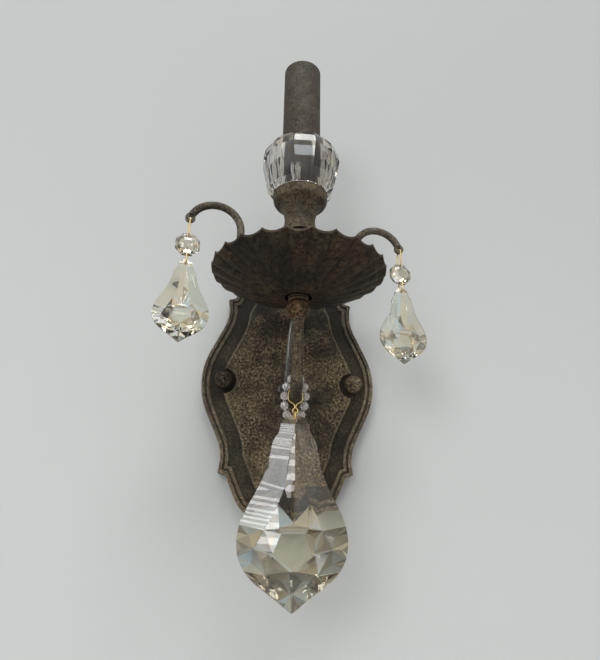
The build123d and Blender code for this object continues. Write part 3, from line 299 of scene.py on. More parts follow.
# ------------------------------------------------------------------ finishes
@dataclass(frozen=True)
class AgedBronze:
    """Dark bronze paint, stippled in tan, with worn edges doubling as painted highlights and painted shade in
    the hollows.

    Patches are in units of patch, and crumbs, dust and pits in units of stipple.
    """

    name: str = "aged_bronze"
    ground: Colour = (0.014, 0.012, 0.0085)
    warm: Colour = (0.054, 0.044, 0.024)
    fleck: Colour = (0.215, 0.168, 0.092)
    # Colour of worn edges, which also serves as their painted highlight.
    rub_and_highlight: Colour = (0.200, 0.178, 0.135)
    tint: Colour = (0.050, 0.028, 0.017)
    # Painted shade colour of the recessed channel.
    channel: Colour = (0.021, 0.020, 0.014)
    pit: Colour = (0.006, 0.0052, 0.004)
    dark: Colour = (0.008, 0.0075, 0.006)
    # Painted shadow colour under the dish.
    dish_shadow_colour: Colour = (0.008, 0.0075, 0.0055)
    # Painted shade colour of hollows, corners and grooves.
    crevice_shade: Colour = (0.006, 0.0055, 0.0045)
    flecks: float = 0.5
    rub_and_highlight_share: float = 1.0
    shade: float = 0.6
    tinted: float = 0.3
    pitted: float = 0.85
    dish_shadow_strength: float = 0.8
    rough: float = 0.56
    patch: float = 0.018
    stipple: float = 0.0030
    shade_reach: float = 0.005
    floor: float = 0.0
    step: float = 0.0016
    dish_shadow_from: float = 0.0
    fade: float = 0.035
    edge: float = 0.0010
    patches: Pattern = Pattern(1.0, 0.38, 0.62, 5.0, 0.62)
    streaks: Pattern = Pattern(0.030, 0.42, 0.66, 3.0, 0.5, (0.3, 0.1, 0.7))
    crumbs: Pattern = Pattern(1.0, 0.48, 0.57, 4.0, 0.72, (0.1, 0.5, 0.2))
    dust: Pattern = Pattern(0.4, 0.50, 0.60, 3.0, 0.6, (0.7, 0.2, 0.4))
    spread: Pattern = Pattern(0.015, 0.30, 0.58, 3.0, 0.6, (0.9, 0.4, 0.6))
    pits: Pattern = Pattern(0.8, 0.53, 0.60, 4.0, 0.7, (0.4, 0.8, 0.1))
    clouds: Pattern = Pattern(0.034, 0.46, 0.60, 4.0, 0.6, (0.6, 0.7, 0.3))
    # Cloudy patches of the painted shadow under the dish.
    dish_shadow: Pattern = Pattern(0.02, 0.30, 0.55, 4.0, 0.55)
    chips: Pattern = Pattern(0.004, 0.28, 0.50, 4.0, 0.7, (0.2, 0.6, 0.9))

    def make(self) -> Material:
        """Builds the material.

        Returns:
            The material.
        """
        graph = Graph.of(self.name)
        crumbs = self.crumbs.on(graph, self.stipple)
        rough = graph.cloud(0.003, 3.0, 0.6, (0.6, 0.3, 0.8)) * 0.24 + (self.rough - 0.10)
        coarse = graph.cloud(0.0022, 4.0, 0.6)
        normal = graph.relief(coarse, 0.00025, 0.8)
        normal = graph.relief(crumbs, 0.00010, 0.9, normal)
        return graph.surface({
            "Base Color": self._worn_and_shaded(graph, self._painted(graph, crumbs)), "Roughness": rough,
            "Normal": normal, "Metallic": 0.20, "Specular IOR Level": 0.18,
        })

    def _painted(self, graph: Graph, crumbs: Value) -> Value:
        """Colour of the paint as it left the brush, with painted shade in the recessed channel where a floor
        depth is set.

        Args:
            graph: The material's tree.
            crumbs: Where the coarse stipple lies.

        Returns:
            The colour.
        """
        base = graph.blend(self.ground, self.warm, self.patches.on(graph, self.patch))
        base = graph.blend(base, self.tint, self.streaks.on(graph) * self.tinted)
        stippled = crumbs * 0.7 + self.dust.on(graph, self.stipple) * 0.3
        stippled = stippled * (self.spread.on(graph) * 0.75 + 0.25) * self.flecks
        # Painted shade: surfaces no further out from the wall than the floor depth darken towards the recess
        # colour and carry fewer tan flecks.
        if self.floor > 0:
            raised = (graph.along(1) * -1.0).above(self.floor, self.floor + self.step)
            stippled = stippled * (raised * 0.8 + 0.2)
            base = graph.blend(self.channel, base, raised * 0.6 + 0.4)
        base = graph.blend(base, self.fleck, stippled)
        base = graph.blend(base, self.pit, self.pits.on(graph, self.stipple) * self.pitted)
        return graph.blend(base, self.dark, self.clouds.on(graph) * self.shade)

    def _worn_and_shaded(self, graph: Graph, base: Value) -> Value:
        """Colour with worn edges doubling as painted highlights, painted shade in the hollows and, where a
        height is set, a painted shadow under the dish.

        Args:
            graph: The material's tree.
            base: Colour of the paint.

        Returns:
            The colour.
        """
        # Painted shadow of the dish: above a given height the surface darkens towards its top, in cloudy
        # patches.
        if self.dish_shadow_from > 0:
            dish_shadow = graph.along(2).above(self.dish_shadow_from, self.dish_shadow_from + self.fade) * self.dish_shadow.on(graph)
            base = graph.blend(base, self.dish_shadow_colour, dish_shadow * self.dish_shadow_strength)
        # Painted shade: ambient occlusion darkens corners, grooves and hollows towards a dark colour.
        open_share = graph.hollow(self.shade_reach)
        # Worn edges, partly real abrasion and partly painted highlight: open edges lighten in chipped
        # patches.
        wear_and_highlight = graph.edges(self.edge).above(0.01, 0.12) * open_share.above(0.50, 0.90)
        base = graph.blend(base, self.rub_and_highlight, wear_and_highlight * self.chips.on(graph) * self.rub_and_highlight_share)
        return graph.blend(self.crevice_shade, base, open_share.above(0.20, 0.88))


@dataclass(frozen=True)
class Metal:
    """Plain plated or solid metal with fine scratches."""

    name: str
    colour: Colour
    dull: Colour
    rough: float = 0.28
    grain: float = 0.0015
    stains: Pattern = Pattern(0.006, 0.4, 0.7)

    def make(self) -> Material:
        """Builds the material.

        Returns:
            The material.
        """
        graph = Graph.of(self.name)
        stains = self.stains.on(graph)
        scratches = graph.cloud(self.grain, 3.0, 0.7, stretch=(1.0, 1.0, 6.0))
        return graph.surface({
            "Base Color": graph.blend(self.colour, self.dull, stains * 0.7),
            "Roughness": scratches * 0.25 + (self.rough - 0.1) + stains * 0.1,
            "Normal": graph.relief(scratches, 0.00003, 0.4),
            "Metallic": 1.0,
        })


@dataclass(frozen=True)
class Moulded:
    """Plastic or rubber with a fine moulded grain."""

    name: str
    colour: Colour
    rough: float = 0.5
    coat: float = 0.0
    haze: Pattern = Pattern(0.004, 0.42, 0.75)

    def make(self) -> Material:
        """Builds the material.

        Returns:
            The material.
        """
        graph = Graph.of(self.name)
        dusty = tuple(min(1.0, channel * 1.6 + 0.02) for channel in self.colour)
        haze = self.haze.on(graph)
        grain = graph.cloud(0.0006, 2.0, 0.5)
        return graph.surface({
            "Base Color": graph.blend(self.colour, dusty, haze * 0.5),
            "Roughness": haze * 0.15 + self.rough,
            "Normal": graph.relief(grain, 0.00003, 0.35),
            "Coat Weight": self.coat,
        })


@dataclass(frozen=True)
class CutGlass:
    """Polished lead glass whose facets carry painted reflections as differing tints, with dust on them."""

    name: str
    tint: Colour = (0.96, 0.945, 0.86)
    ior: float = 1.60
    rough: float = 0.008
    clear: float = 1.0
    painted_reflections: float = 1.0
    smears: Pattern = Pattern(0.006, 0.45, 0.8)

    def make(self) -> Material:
        """Builds the material.

        Returns:
            The material.
        """
        graph = Graph.of(self.name)
        smears = self.smears.on(graph)
        cloudy = tuple(channel * 0.93 for channel in self.tint)
        facet = graph.node("ShaderNodeAttribute", {"attribute_name": "facet"}).outputs["Color"]
        base = graph.blend(self.tint, cloudy, smears)
        return graph.surface({
            # Painted reflections: each facet's tint multiplies the glass colour.
            "Base Color": graph.blend(base, facet, self.painted_reflections, "MULTIPLY"),
            "Roughness": smears * 0.03 + self.rough,
            "IOR": self.ior,
            "Transmission Weight": self.clear,
            "Specular IOR Level": 0.6,
        })


@dataclass(frozen=True)
class Backing:
    """Plain painted backdrop, seen from its front only, that lets light in to what lies close to it, with a
    second colour towards the top which on the wall is darker as painted shade against the top lamp.
    """

    name: str
    colour: Colour
    upper: Colour
    low: float = -1.05
    high: float = -0.45
    near: float = 0.020
    far: float = 0.024

    def make(self) -> Material:
        """Builds the material.

        Returns:
            The material.
        """
        graph = Graph.of(self.name)
        # Painted shade: the colour turns to the upper one towards the top, evening out the top lamp.
        colour = graph.blend(self.colour, self.upper, graph.along(1).above(self.low, self.high))
        plaster = graph.cloud(0.05, 3.0, 0.5)
        normal = graph.relief(plaster, 0.0006, 0.15)
        paint = graph.node("ShaderNodeBsdfDiffuse", {}, {"Color": colour, "Normal": normal}).outputs[0]
        clear = graph.node("ShaderNodeBsdfTransparent").outputs[0]
        behind = Value(graph, graph.node("ShaderNodeNewGeometry").outputs["Backfacing"])
        length = Value(graph, graph.node("ShaderNodeLightPath").outputs["Ray Length"])
        opaque = (1.0 - behind) * length.above(self.near, self.far)
        mixed = graph.node("ShaderNodeMixShader", {}, {0: opaque, 1: clear, 2: paint}).outputs[0]
        graph.node("ShaderNodeOutputMaterial", {}, {"Surface": mixed})
        return graph.owner


@dataclass
class Finishes:
    """Every finish of the sconce, made once."""

    plate: Material = field(default_factory=AgedBronze(
        "plate_bronze", flecks=1.0, ground=(0.018, 0.0142, 0.0088), warm=(0.068, 0.053, 0.031),
        fleck=(0.315, 0.234, 0.142), rub_and_highlight=(0.36, 0.315, 0.225), stipple=0.0016, floor=0.0092,
        dish_shadow_from=0.010).make)
    cast: Material = field(default_factory=AgedBronze(
        "stem_bronze", flecks=0.7, ground=(0.033, 0.0275, 0.0195), warm=(0.094, 0.075, 0.047), shade=0.5,
        rub_and_highlight_share=0.4, stipple=0.002).make)
    ball: Material = field(default_factory=AgedBronze(
        "ball_bronze", flecks=0.75, fleck=(0.23, 0.145, 0.062), tinted=0.7, tint=(0.06, 0.025, 0.011),
        warm=(0.044, 0.034, 0.018), stipple=0.0024).make)
    dish: Material = field(default_factory=AgedBronze(
        "dish_bronze", flecks=0.22, ground=(0.018, 0.0125, 0.0072), warm=(0.044, 0.0285, 0.0150),
        tint=(0.042, 0.021, 0.013), tinted=0.8, rub_and_highlight_share=0.45, rub_and_highlight=(0.10, 0.085, 0.062), shade=0.3).make)
    rods: Material = field(default_factory=AgedBronze(
        "rod_bronze", flecks=0.55, ground=(0.035, 0.032, 0.026), warm=(0.098, 0.090, 0.072), shade=0.4,
        stipple=0.0022).make)
    sleeve: Material = field(default_factory=AgedBronze(
        "sleeve_paint", flecks=0.30, ground=(0.046, 0.040, 0.030), warm=(0.070, 0.061, 0.046),
        fleck=(0.13, 0.108, 0.078), patch=0.008, rough=0.62, shade=0.0, stipple=0.0014).make)
    zinc: Material = field(default_factory=Metal(
        "zinc_plate", (0.60, 0.61, 0.60), (0.42, 0.42, 0.39)).make)
    earth: Material = field(default_factory=Metal(
        "green_plate", (0.10, 0.38, 0.15), (0.06, 0.22, 0.09)).make)
    wire: Material = field(default_factory=Metal(
        "gold_wire", (0.72, 0.50, 0.17), (0.45, 0.31, 0.12), 0.26).make)
    thread: Material = field(default_factory=Metal(
        "bead_wire", (0.42, 0.38, 0.31), (0.25, 0.22, 0.18), 0.4).make)
    shell: Material = field(default_factory=Metal(
        "brass_shell", (0.72, 0.52, 0.24), (0.50, 0.36, 0.17), 0.34).make)
    socket: Material = field(default_factory=Moulded(
        "socket_body", (0.025, 0.024, 0.023), 0.5).make)
    lead: Material = field(default_factory=Moulded(
        "lead_sheath", (0.060, 0.066, 0.060), 0.25, 0.5).make)
    rubber: Material = field(default_factory=Moulded(
        "rubber_washer", (0.03, 0.03, 0.03), 0.7).make)
    glass: Material = field(default_factory=CutGlass("cut_glass").make)
    cup_glass: Material = field(default_factory=CutGlass(
        "cup_glass", (0.75, 0.73, 0.69), 1.52, painted_reflections=0.7).make)
    bead_glass: Material = field(default_factory=CutGlass(
        "bead_glass", (0.90, 0.86, 0.83), 1.55, clear=0.78, painted_reflections=0.0).make)


# ------------------------------------------------------------------ mesh helpers
def cad(node: str) -> Item:
    """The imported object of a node."""
    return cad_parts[node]


def dress(material: Material, *nodes: str) -> None:
    """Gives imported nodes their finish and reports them.

    Args:
        material: The finish.
        nodes: Names of the nodes.
    """
    for node in nodes:
        mesh = cad(node).data
        if not mesh.materials:
            mesh.materials.append(material)
        for index in range(len(mesh.materials)):
            mesh.materials[index] = material
        LOG.info("%s wears %s", node, material.name)


def middle(node: str) -> Vector:
    """Middle of a node's box."""
    low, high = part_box(node)
    return (Vector(low) + Vector(high)) / 2


def fitted(piece: Item, body: str, slot: str, *nodes: str) -> Item:
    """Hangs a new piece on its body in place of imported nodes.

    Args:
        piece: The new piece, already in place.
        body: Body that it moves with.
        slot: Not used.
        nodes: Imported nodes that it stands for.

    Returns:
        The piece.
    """
    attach(piece, body)
    if nodes:
        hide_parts(*nodes)
    LOG.info("%s rides on %s", piece.name, body)
    return piece


def new_object(name: str, build: Build, material: Material) -> Item:
    """Turns a working mesh into an object of flat faces.

    Args:
        name: Name of the piece.
        build: Working mesh, which is freed.
        material: Its finish.

    Returns:
        The object.
    """
    bmesh.ops.recalc_face_normals(build, faces=build.faces)
    mesh = bpy.data.meshes.new(name)
    build.to_mesh(mesh)
    build.free()
    mesh.materials.append(material)
    for polygon in mesh.polygons:
        polygon.use_smooth = False
    piece = bpy.data.objects.new(name, mesh)
    bpy.context.scene.collection.objects.link(piece)
    return piece


def facet_reflection(number: int) -> Colour:
    """Painted reflection of a facet: a tint scattered over the tints by its number.

    Args:
        number: The facet's number, 0 where the stone is drilled.

    Returns:
        The tint of its painted reflection.
    """
    if not number:
        return (1.0, 1.0, 1.0)
    rate, start, spread = SCATTER
    share = abs(math.sin(rate * number + start) * spread) % 1.0
    # Low facets lean towards the later painted reflections in the table: dim, blue, amber and dark.
    if number > LOW_FACETS:
        share = share ** LOW_FACET_BIAS
    return next(tint for limit, tint in PAINTED_FACET_REFLECTIONS if share <= limit)


def polish_facets(piece: Item) -> None:
    """Gives each facet its own tint, a painted reflection, and crisp edges, once the stone is drilled.

    A facet is the set of faces that carry the same number.

    Args:
        piece: The finished stone.
    """
    mesh = piece.data
    numbers = [item.value for item in mesh.attributes[FACET_NUMBER].data]
    layer = mesh.attributes.new("facet", "FLOAT_COLOR", "FACE")
    for number, item in zip(numbers, layer.data):
        item.color = (*facet_reflection(number), 1.0)
    beside: dict[tuple[int, int], set[int]] = {}
    for polygon, number in zip(mesh.polygons, numbers):
        polygon.use_smooth = True
        for edge in polygon.edge_keys:
            beside.setdefault(edge, set()).add(number if number else -polygon.index)
    for edge in mesh.edges:
        edge.use_edge_sharp = len(beside.get(edge.key, ())) > 1


def cut_through(piece: Item, centre: Vector, direction: Vector, radius: float, reach: float) -> None:
    """Drills a round hole through a piece.

    Args:
        piece: The piece.
        centre: Middle of the hole.
        direction: Along the hole.
        radius: Its radius.
        reach: Length of the drill.
    """
    build = bmesh.new()
    turn = direction.to_track_quat("Z", "Y").to_matrix().to_4x4()
    place = Matrix.Translation(centre) @ turn
    bmesh.ops.create_cone(
        build, cap_ends=True, segments=24, radius1=radius, radius2=radius, depth=reach, matrix=place)
    drill = new_object(piece.name + "_drill", build, piece.data.materials[0])
    cut = piece.modifiers.new("hole", "BOOLEAN")
    cut.operation = "DIFFERENCE"
    cut.solver = "EXACT"
    cut.object = drill
    graph = bpy.context.evaluated_depsgraph_get()
    drilled = bpy.data.meshes.new_from_object(piece.evaluated_get(graph))
    piece.modifiers.clear()
    piece.data = drilled
    bpy.data.objects.remove(drill)


# ------------------------------------------------------------------ cut stones
@dataclass
class DropCut:
    """Facets of a pendant drop, from its silhouette and the corners of its cut.

    Widths are shares of the half width, levels are shares of the length below
    the top, and depths are shares of the half thickness. The flank runs between
    two points of the silhouette, the head lies above it, and each fan joins a
    corner to the silhouette from one point to another, and to a second corner.
    """

    length: float
    width: float
    thickness: float
    edge: float = 0.0012
    steps: int = 4
    brilliants: float = 0.54
    poke: float = 0.05
    flank_ends: tuple[int, int] = (2, 10)
    fans: tuple[tuple[str, int, int, str], ...] = (
        ("H", 10, 11, "B"), ("B", 11, 12, ""), ("B", 12, 13, "E"), ("E", 13, 15, ""), ("E", 15, 16, "F"),
        ("F", 16, 18, ""))
    triangles: tuple[str, ...] = ("KZN", "ZGN", "ZHG", "GHA", "AHC", "HBC", "CBE", "CED", "DEF", "TKM", "MKN")
    silhouette: tuple[tuple[float, float], ...] = (
        (0.0, 0.0), (0.16, 0.012), (0.27, 0.05), (0.30, 0.095), (0.41, 0.15), (0.455, 0.22), (0.52, 0.30),
        (0.62, 0.375), (0.75, 0.45), (0.875, 0.52), (0.96, 0.585), (1.0, 0.66), (0.965, 0.74),
        (0.85, 0.805), (0.67, 0.86), (0.45, 0.905), (0.25, 0.945), (0.11, 0.978), (0.0, 1.0))
    flank: tuple[Point, ...] = (
        (0.0, 0.055, 0.36), (0.03, 0.10, 0.44), (0.07, 0.17, 0.54), (0.11, 0.24, 0.62), (0.145, 0.32, 0.68),
        (0.18, 0.40, 0.72), (0.29, 0.48, 0.72), (0.40, 0.55, 0.68), (0.52, 0.61, 0.60))
    corners: Mapping[str, Point] = field(default_factory=lambda: {
        "T": (0.0, 0.055, 0.36), "K": (0.18, 0.40, 0.72), "M": (0.0, 0.36, 0.83), "N": (0.0, 0.575, 0.90),
        "Z": (0.29, 0.48, 0.72), "G": (0.26, 0.60, 0.97), "H": (0.52, 0.61, 0.60),
        "A": (0.22, 0.625, 1.0), "B": (0.68, 0.70, 0.48), "C": (0.36, 0.72, 0.96),
        "D": (0.0, 0.80, 0.98), "E": (0.44, 0.82, 0.56), "F": (0.0, 0.905, 0.52),
    })

    def point(self, across: float, down: float, depth: float) -> Vector:
        """A corner in the stone's own frame, its top at the origin and its face along -Y."""
        half = self.width / 2
        return Vector((across * half, -depth * self.thickness / 2, -down * self.length))

    def build(self) -> Build:
        """Makes the stone.

        Returns:
            Its working mesh, face towards -Y.
        """
        build = bmesh.new()
        numbers = build.faces.layers.int.new(FACET_NUMBER)
        for face in (1, -1):
            self._half(build, face)
        low = -self.brilliants * self.length
        middles = {facet: facet.calc_center_median() for facet in build.faces if facet[numbers] == 0}
        backs = [facet for facet, spot in middles.items() if spot.y > SAME_LEVEL and spot.z < low]
        bmesh.ops.poke(build, faces=backs, offset=self.poke * self.thickness)
        for number, facet in enumerate(build.faces):
            start = LOW_FACETS if facet.calc_center_median().z < low else 0
            facet[numbers] = facet[numbers] or start + number + 1
        bmesh.ops.remove_doubles(build, verts=build.verts, dist=2e-6)
        return build

    def _outline(self) -> list[tuple[float, float]]:
        """Draws the silhouette through its points.

        Returns:
            Points of one smooth line.
        """
        ends = (self.silhouette[0], *self.silhouette, self.silhouette[-1])
        line = []
        for before, first, second, after in zip(ends, ends[1:], ends[2:], ends[3:]):
            for step in range(self.steps):
                share = step / self.steps
                line.append(tuple(self._between(*four, share) for four in zip(before, first, second, after)))
        return [*line, self.silhouette[-1]]

    def _between(self, before: float, first: float, second: float, after: float, share: float) -> float:
        """Smooth value between first and second.

        Args:
            before: Value ahead of them.
            first: Value at a share of 0.
            second: Value at a share of 1.
            after: Value past them.
            share: Place between the two.

        Returns:
            The value.
        """
        start, end = (second - before) / 2, (after - first) / 2
        rise = second - first
        bend = 3 * rise - 2 * start - end
        return first + share * (start + share * (bend + share * (start + end - 2 * rise)))

    def _half(self, build: Build, face: int) -> None:
        """One face of the stone and its share of the rim.

        Args:
            build: Working mesh.
            face: 1 for the front and -1 for the back.
        """
        outline = self._outline()
        depth = face * self.edge / self.thickness
        for side in (1, -1):
            rim = [build.verts.new(self.point(side * across, down, depth)) for across, down in outline]
            corner = {}
            for name, (across, down, deep) in self.corners.items():
                corner[name] = build.verts.new(self.point(side * across, down, face * deep))
            self._flank(build, rim, face, side)
            self._facets(build, rim, corner)
            self._centre(build, corner)
            for first, second in zip(rim, rim[1:]):
                self._band(build, first, second)

    def _flank(self, build: Build, rim: list[Corner], face: int, side: int) -> None:
        """The one hollow facet from the head to the belly, as a strip.

        Args:
            build: Working mesh.
            rim: Corners of the rim on this side.
            face: 1 for the front and -1 for the back.
            side: 1 for the right and -1 for the left.
        """
        numbers = build.faces.layers.int[FACET_NUMBER]
        first, last = (end * self.steps for end in self.flank_ends)
        inner = []
        for index in range(last - first + 1):
            place = index / self.steps
            low = min(int(place), len(self.flank) - 2)
            ends = zip(self.flank[low], self.flank[low + 1])
            across, down, deep = (start + (place - low) * (end - start) for start, end in ends)
            inner.append(build.verts.new(self.point(side * across, down, face * deep)))
        number = FLANK_FACETS + 10 * face + side
        for index in range(last - first):
            outer = rim[first + index:first + index + 2]
            build.faces.new([*outer, inner[index + 1], inner[index]])[numbers] = number
        build.faces.new([*rim[:first + 1], inner[0]])

    def _facets(self, build: Build, rim: list[Corner], corner: Mapping[str, Corner]) -> None:
        """The flat facets of one side below the flank.

        Args:
            build: Working mesh.
            rim: Corners of the rim on this side.
            corner: Corners of the cut on this side.
        """
        for name, first, last, other in self.fans:
            run = rim[first * self.steps:last * self.steps + 1]
            build.faces.new([corner[name], *run, *([corner[other]] if other else [])])
        for names in self.triangles:
            build.faces.new([corner[name] for name in names])

    def _centre(self, build: Build, corner: Mapping[str, Corner]) -> None:
        """Half of each facet that crosses the middle line.

        Args:
            build: Working mesh.
            corner: Corners of the cut on this side.
        """
        numbers = build.faces.layers.int[FACET_NUMBER]
        level = {name: build.verts.new((0.0, vert.co.y, vert.co.z)) for name, vert in corner.items()}
        halves = (
            (corner["N"], corner["G"], level["G"]),
            (level["G"], corner["G"], corner["A"], level["A"]),
            (level["A"], corner["A"], corner["C"], corner["D"]),
        )
        for number, verts in enumerate(halves, start=CENTRE_FACETS + 1):
            build.faces.new(verts)[numbers] = number + (10 if verts[0].co.y > 0 else 0)

    def _band(self, build: Build, first: Corner, second: Corner) -> None:
        """Half of the polished rim between two rim corners, to the stone's middle plane.

        Args:
            build: Working mesh.
            first: The upper corner.
            second: The lower corner.
        """
        numbers = build.faces.layers.int[FACET_NUMBER]
        under = [build.verts.new((vert.co.x, 0.0, vert.co.z)) for vert in (second, first)]
        build.faces.new([first, second, *under])[numbers] = RIM_FACETS


@dataclass
class OctagonCut:
    """Eight-sided stone with a table, eight star facets and eight kites on each face."""

    across: float = 0.014
    thickness: float = 0.0056
    edge: float = 0.0012
    table: float = 0.44
    star: float = 0.74
    star_depth: float = 0.70
    sides: int = 8

    def build(self) -> Build:
        """Makes the stone about its middle.

        Returns:
            Its working mesh, face towards -Y.
        """
        build = bmesh.new()
        numbers = build.faces.layers.int.new(FACET_NUMBER)
        lean = 180.0 / self.sides
        corner = self.across / 2 / math.cos(math.radians(lean))
        for face in (1, -1):
            rim = self._ring(build, corner, lean, face * self.edge / 2)
            reach, depth = self.star * self.across / 2, self.star_depth * self.thickness / 2
            stars = self._ring(build, reach, 0.0, face * depth)
            table = self._ring(build, self.table * corner, lean, face * self.thickness / 2)
            waist = self._ring(build, corner, lean, 0.0)
            build.faces.new(table)
            for index in range(self.sides):
                after = (index + 1) % self.sides
                build.faces.new([rim[index], rim[after], stars[after]])
                build.faces.new([rim[index], stars[after], table[index], stars[index]])
                build.faces.new([stars[after], table[after], table[index]])
                build.faces.new([rim[index], rim[after], waist[after], waist[index]])
        for number, facet in enumerate(build.faces):
            facet[numbers] = number + 1
        bmesh.ops.remove_doubles(build, verts=build.verts, dist=1e-6)
        return build

    def _ring(self, build: Build, radius: float, start: float, depth: float) -> list[Corner]:
        """Corners at one depth.

        Args:
            build: Working mesh.
            radius: Distance from the middle.
            start: Angle of the first corner in degrees.
            depth: Distance in front of the middle plane.

        Returns:
            The corners, in order.
        """
        ring = []
        for index in range(self.sides):
            angle = math.radians(start + 360.0 / self.sides * index)
            ring.append(build.verts.new((radius * math.cos(angle), -depth, radius * math.sin(angle))))
        return ring


# ------------------------------------------------------------------ sub-assemblies
class Side(Enum):
    """The two side arms, by the direction in which they leave the stem."""

    LEFT = 180.0
    RIGHT = 0.0

    @property
    def word(self) -> str:
        """The side's name in node names."""
        return self.name.lower()


@dataclass
class WallFixing:
    """Backplate with its cap nuts, and the strap, studs, nuts and screw behind it."""

    finishes: Finishes

    def build(self) -> None:
        """Dresses every piece."""
        dress(self.finishes.plate, "backplate", "cap_nut_left", "cap_nut_right")
        dress(self.finishes.zinc, "mounting_strap", "strap_studs", "stud_nuts")
        dress(self.finishes.earth, "ground_screw")


@dataclass
class ArmAndStem:
    """Main arm, ball, collar, dish, hub, column and urn, and the tube inside them."""

    finishes: Finishes

    def build(self) -> None:
        """Dresses every piece."""
        dress(self.finishes.cast, "main_arm", "arm_hub", "stem_column", "urn_cup")
        dress(self.finishes.ball, "coupling_ball", "ringed_collar")
        dress(self.finishes.dish, "fluted_dish")
        dress(self.finishes.rods, "side_arm_left", "side_arm_right")
        dress(self.finishes.zinc, "arm_washer", "arm_nut", "stem_tube", "cup_nut")
        dress(self.finishes.rubber, "cup_washer")


@dataclass
class Candle:
    """Candle sleeve and the lamp socket that it hides."""

    finishes: Finishes

    def build(self) -> None:
        """Dresses every piece."""
        dress(self.finishes.sleeve, "candle_sleeve")
        dress(self.finishes.zinc, "socket_bracket")
        dress(self.finishes.socket, "socket_body")
        dress(self.finishes.shell, "screw_shell", "centre_contact")


@dataclass
class CrystalCup:
    """Twelve-sided glass cup round the foot of the candle."""

    finishes: Finishes
    sides: int = 12
    round_sides: int = 60
    tiers: tuple[tuple[float, float], ...] = (
        (0.0176, 0.0), (0.0202, 0.0030), (0.0218, 0.0090), (0.0248, 0.0245), (0.0236, 0.0300),
        (0.0206, 0.0344))
    base: float = 0.0040
    bowl: tuple[tuple[float, float], ...] = (
        (0.0160, 0.0344), (0.0164, 0.0290), (0.0163, 0.0235), (0.0158, 0.0180), (0.0151, 0.0130),
        (0.0143, 0.0090), (0.0134, 0.0060), (0.0128, 0.0046), (0.0126, 0.0040))
    stem_hole: float = 0.00435

    def build(self) -> None:
        """Makes the cup and hangs it in the frame."""
        build = bmesh.new()
        numbers = build.faces.layers.int.new(FACET_NUMBER)
        corner = 1.0 / math.cos(math.pi / self.sides)
        rings = [self._ring(build, self.sides, radius * corner, level) for radius, level in self.tiers]
        for low, high in zip(rings, rings[1:]):
            self._band(build, low, high)
        for number, facet in enumerate(build.faces):
            facet[numbers] = number + 1
        inside = [*self.bowl, (self.stem_hole, self.base), (self.stem_hole, 0.0)]
        bores = [self._ring(build, self.round_sides, radius, height) for radius, height in inside]
        for low, high in zip(bores, bores[1:]):
            self._band(build, low, high)
        self._fill(build, rings[-1], bores[0])
        self._fill(build, rings[0], bores[-1])
        cup = new_object("crystal_cup_cut", build, self.finishes.cup_glass)
        polish_facets(cup)
        for polygon in cup.data.polygons:
            centre = polygon.center
            if self.base < centre.z and math.hypot(centre.x, centre.y) < self.bowl[1][0]:
                self._round(cup, polygon)
        low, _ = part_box("crystal_cup")
        centre = middle("crystal_cup")
        cup.data.transform(Matrix.Translation((centre.x, centre.y, low[2])))
        fitted(cup, "frame", "crystal", "crystal_cup")

    def _round(self, cup: Item, wall: bpy.types.MeshPolygon) -> None:
        """Smooths the edges of one piece of the bowl's wall, but not those of its rim.

        Args:
            cup: The cup.
            wall: The piece of wall.
        """
        for index in wall.loop_indices:
            edge = cup.data.edges[cup.data.loops[index].edge_index]
            first, second = (cup.data.vertices[vertex].co for vertex in edge.vertices)
            if min(first.z, second.z) < self.bowl[0][1] - SAME_LEVEL:
                edge.use_edge_sharp = False

    def _ring(self, build: Build, count: int, radius: float, height: float) -> list[Corner]:
        """Level ring of corners with a flat towards the front.

        Args:
            build: Working mesh.
            count: How many corners.
            radius: Distance from the cup's axis.
            height: Height above the cup's foot.

        Returns:
            The corners, in order.
        """
        ring = []
        for index in range(count):
            angle = 2 * math.pi * (index + 0.5) / count
            ring.append(build.verts.new((radius * math.sin(angle), -radius * math.cos(angle), height)))
        return ring

    def _band(self, build: Build, low: list[Corner], high: list[Corner]) -> None:
        """Wall between two rings of the same count.

        Args:
            build: Working mesh.
            low: One ring.
            high: The next one.
        """
        for index in range(len(low)):
            after = (index + 1) % len(low)
            build.faces.new([low[index], low[after], high[after], high[index]])

    def _fill(self, build: Build, outer: list[Corner], inner: list[Corner]) -> None:
        """Flat ring between a ring of few corners and one of many.

        Args:
            build: Working mesh.
            outer: The ring of few.
            inner: The ring of many.
        """
        per = len(inner) // len(outer)
        half = per // 2
        for index, vert in enumerate(outer):
            after = outer[(index + 1) % len(outer)]
            start = index * per + half
            arc = [inner[(start + step) % len(inner)] for step in range(per + 1)]
            build.faces.new([vert, after, *reversed(arc)])


@dataclass
class HungDrop:
    """Cut drop in place of the plain one of a node, drilled near its top."""

    node: str
    glass: Material
    width: float
    thickness: float
    hole: float
    hole_radius: float = 0.0011
    drill: float = 0.04

    def build(self, turn: Matrix) -> None:
        """Makes the drop, turned about the vertical through its hole.

        Args:
            turn: Its turn.
        """
        low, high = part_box(self.node)
        spot = middle(self.node)
        cut = DropCut(high[2] - low[2], self.width, self.thickness)
        drop = new_object(self.node.replace("drop", "drop_cut"), cut.build(), self.glass)
        drop.data.transform(Matrix.Translation((spot.x, spot.y, high[2])) @ turn)
        hole = Vector((spot.x, spot.y, high[2] - self.hole))
        cut_through(drop, hole, turn @ Vector((0.0, 1.0, 0.0)), self.hole_radius, self.drill)
        polish_facets(drop)
        fitted(drop, self.node, "crystal", self.node)


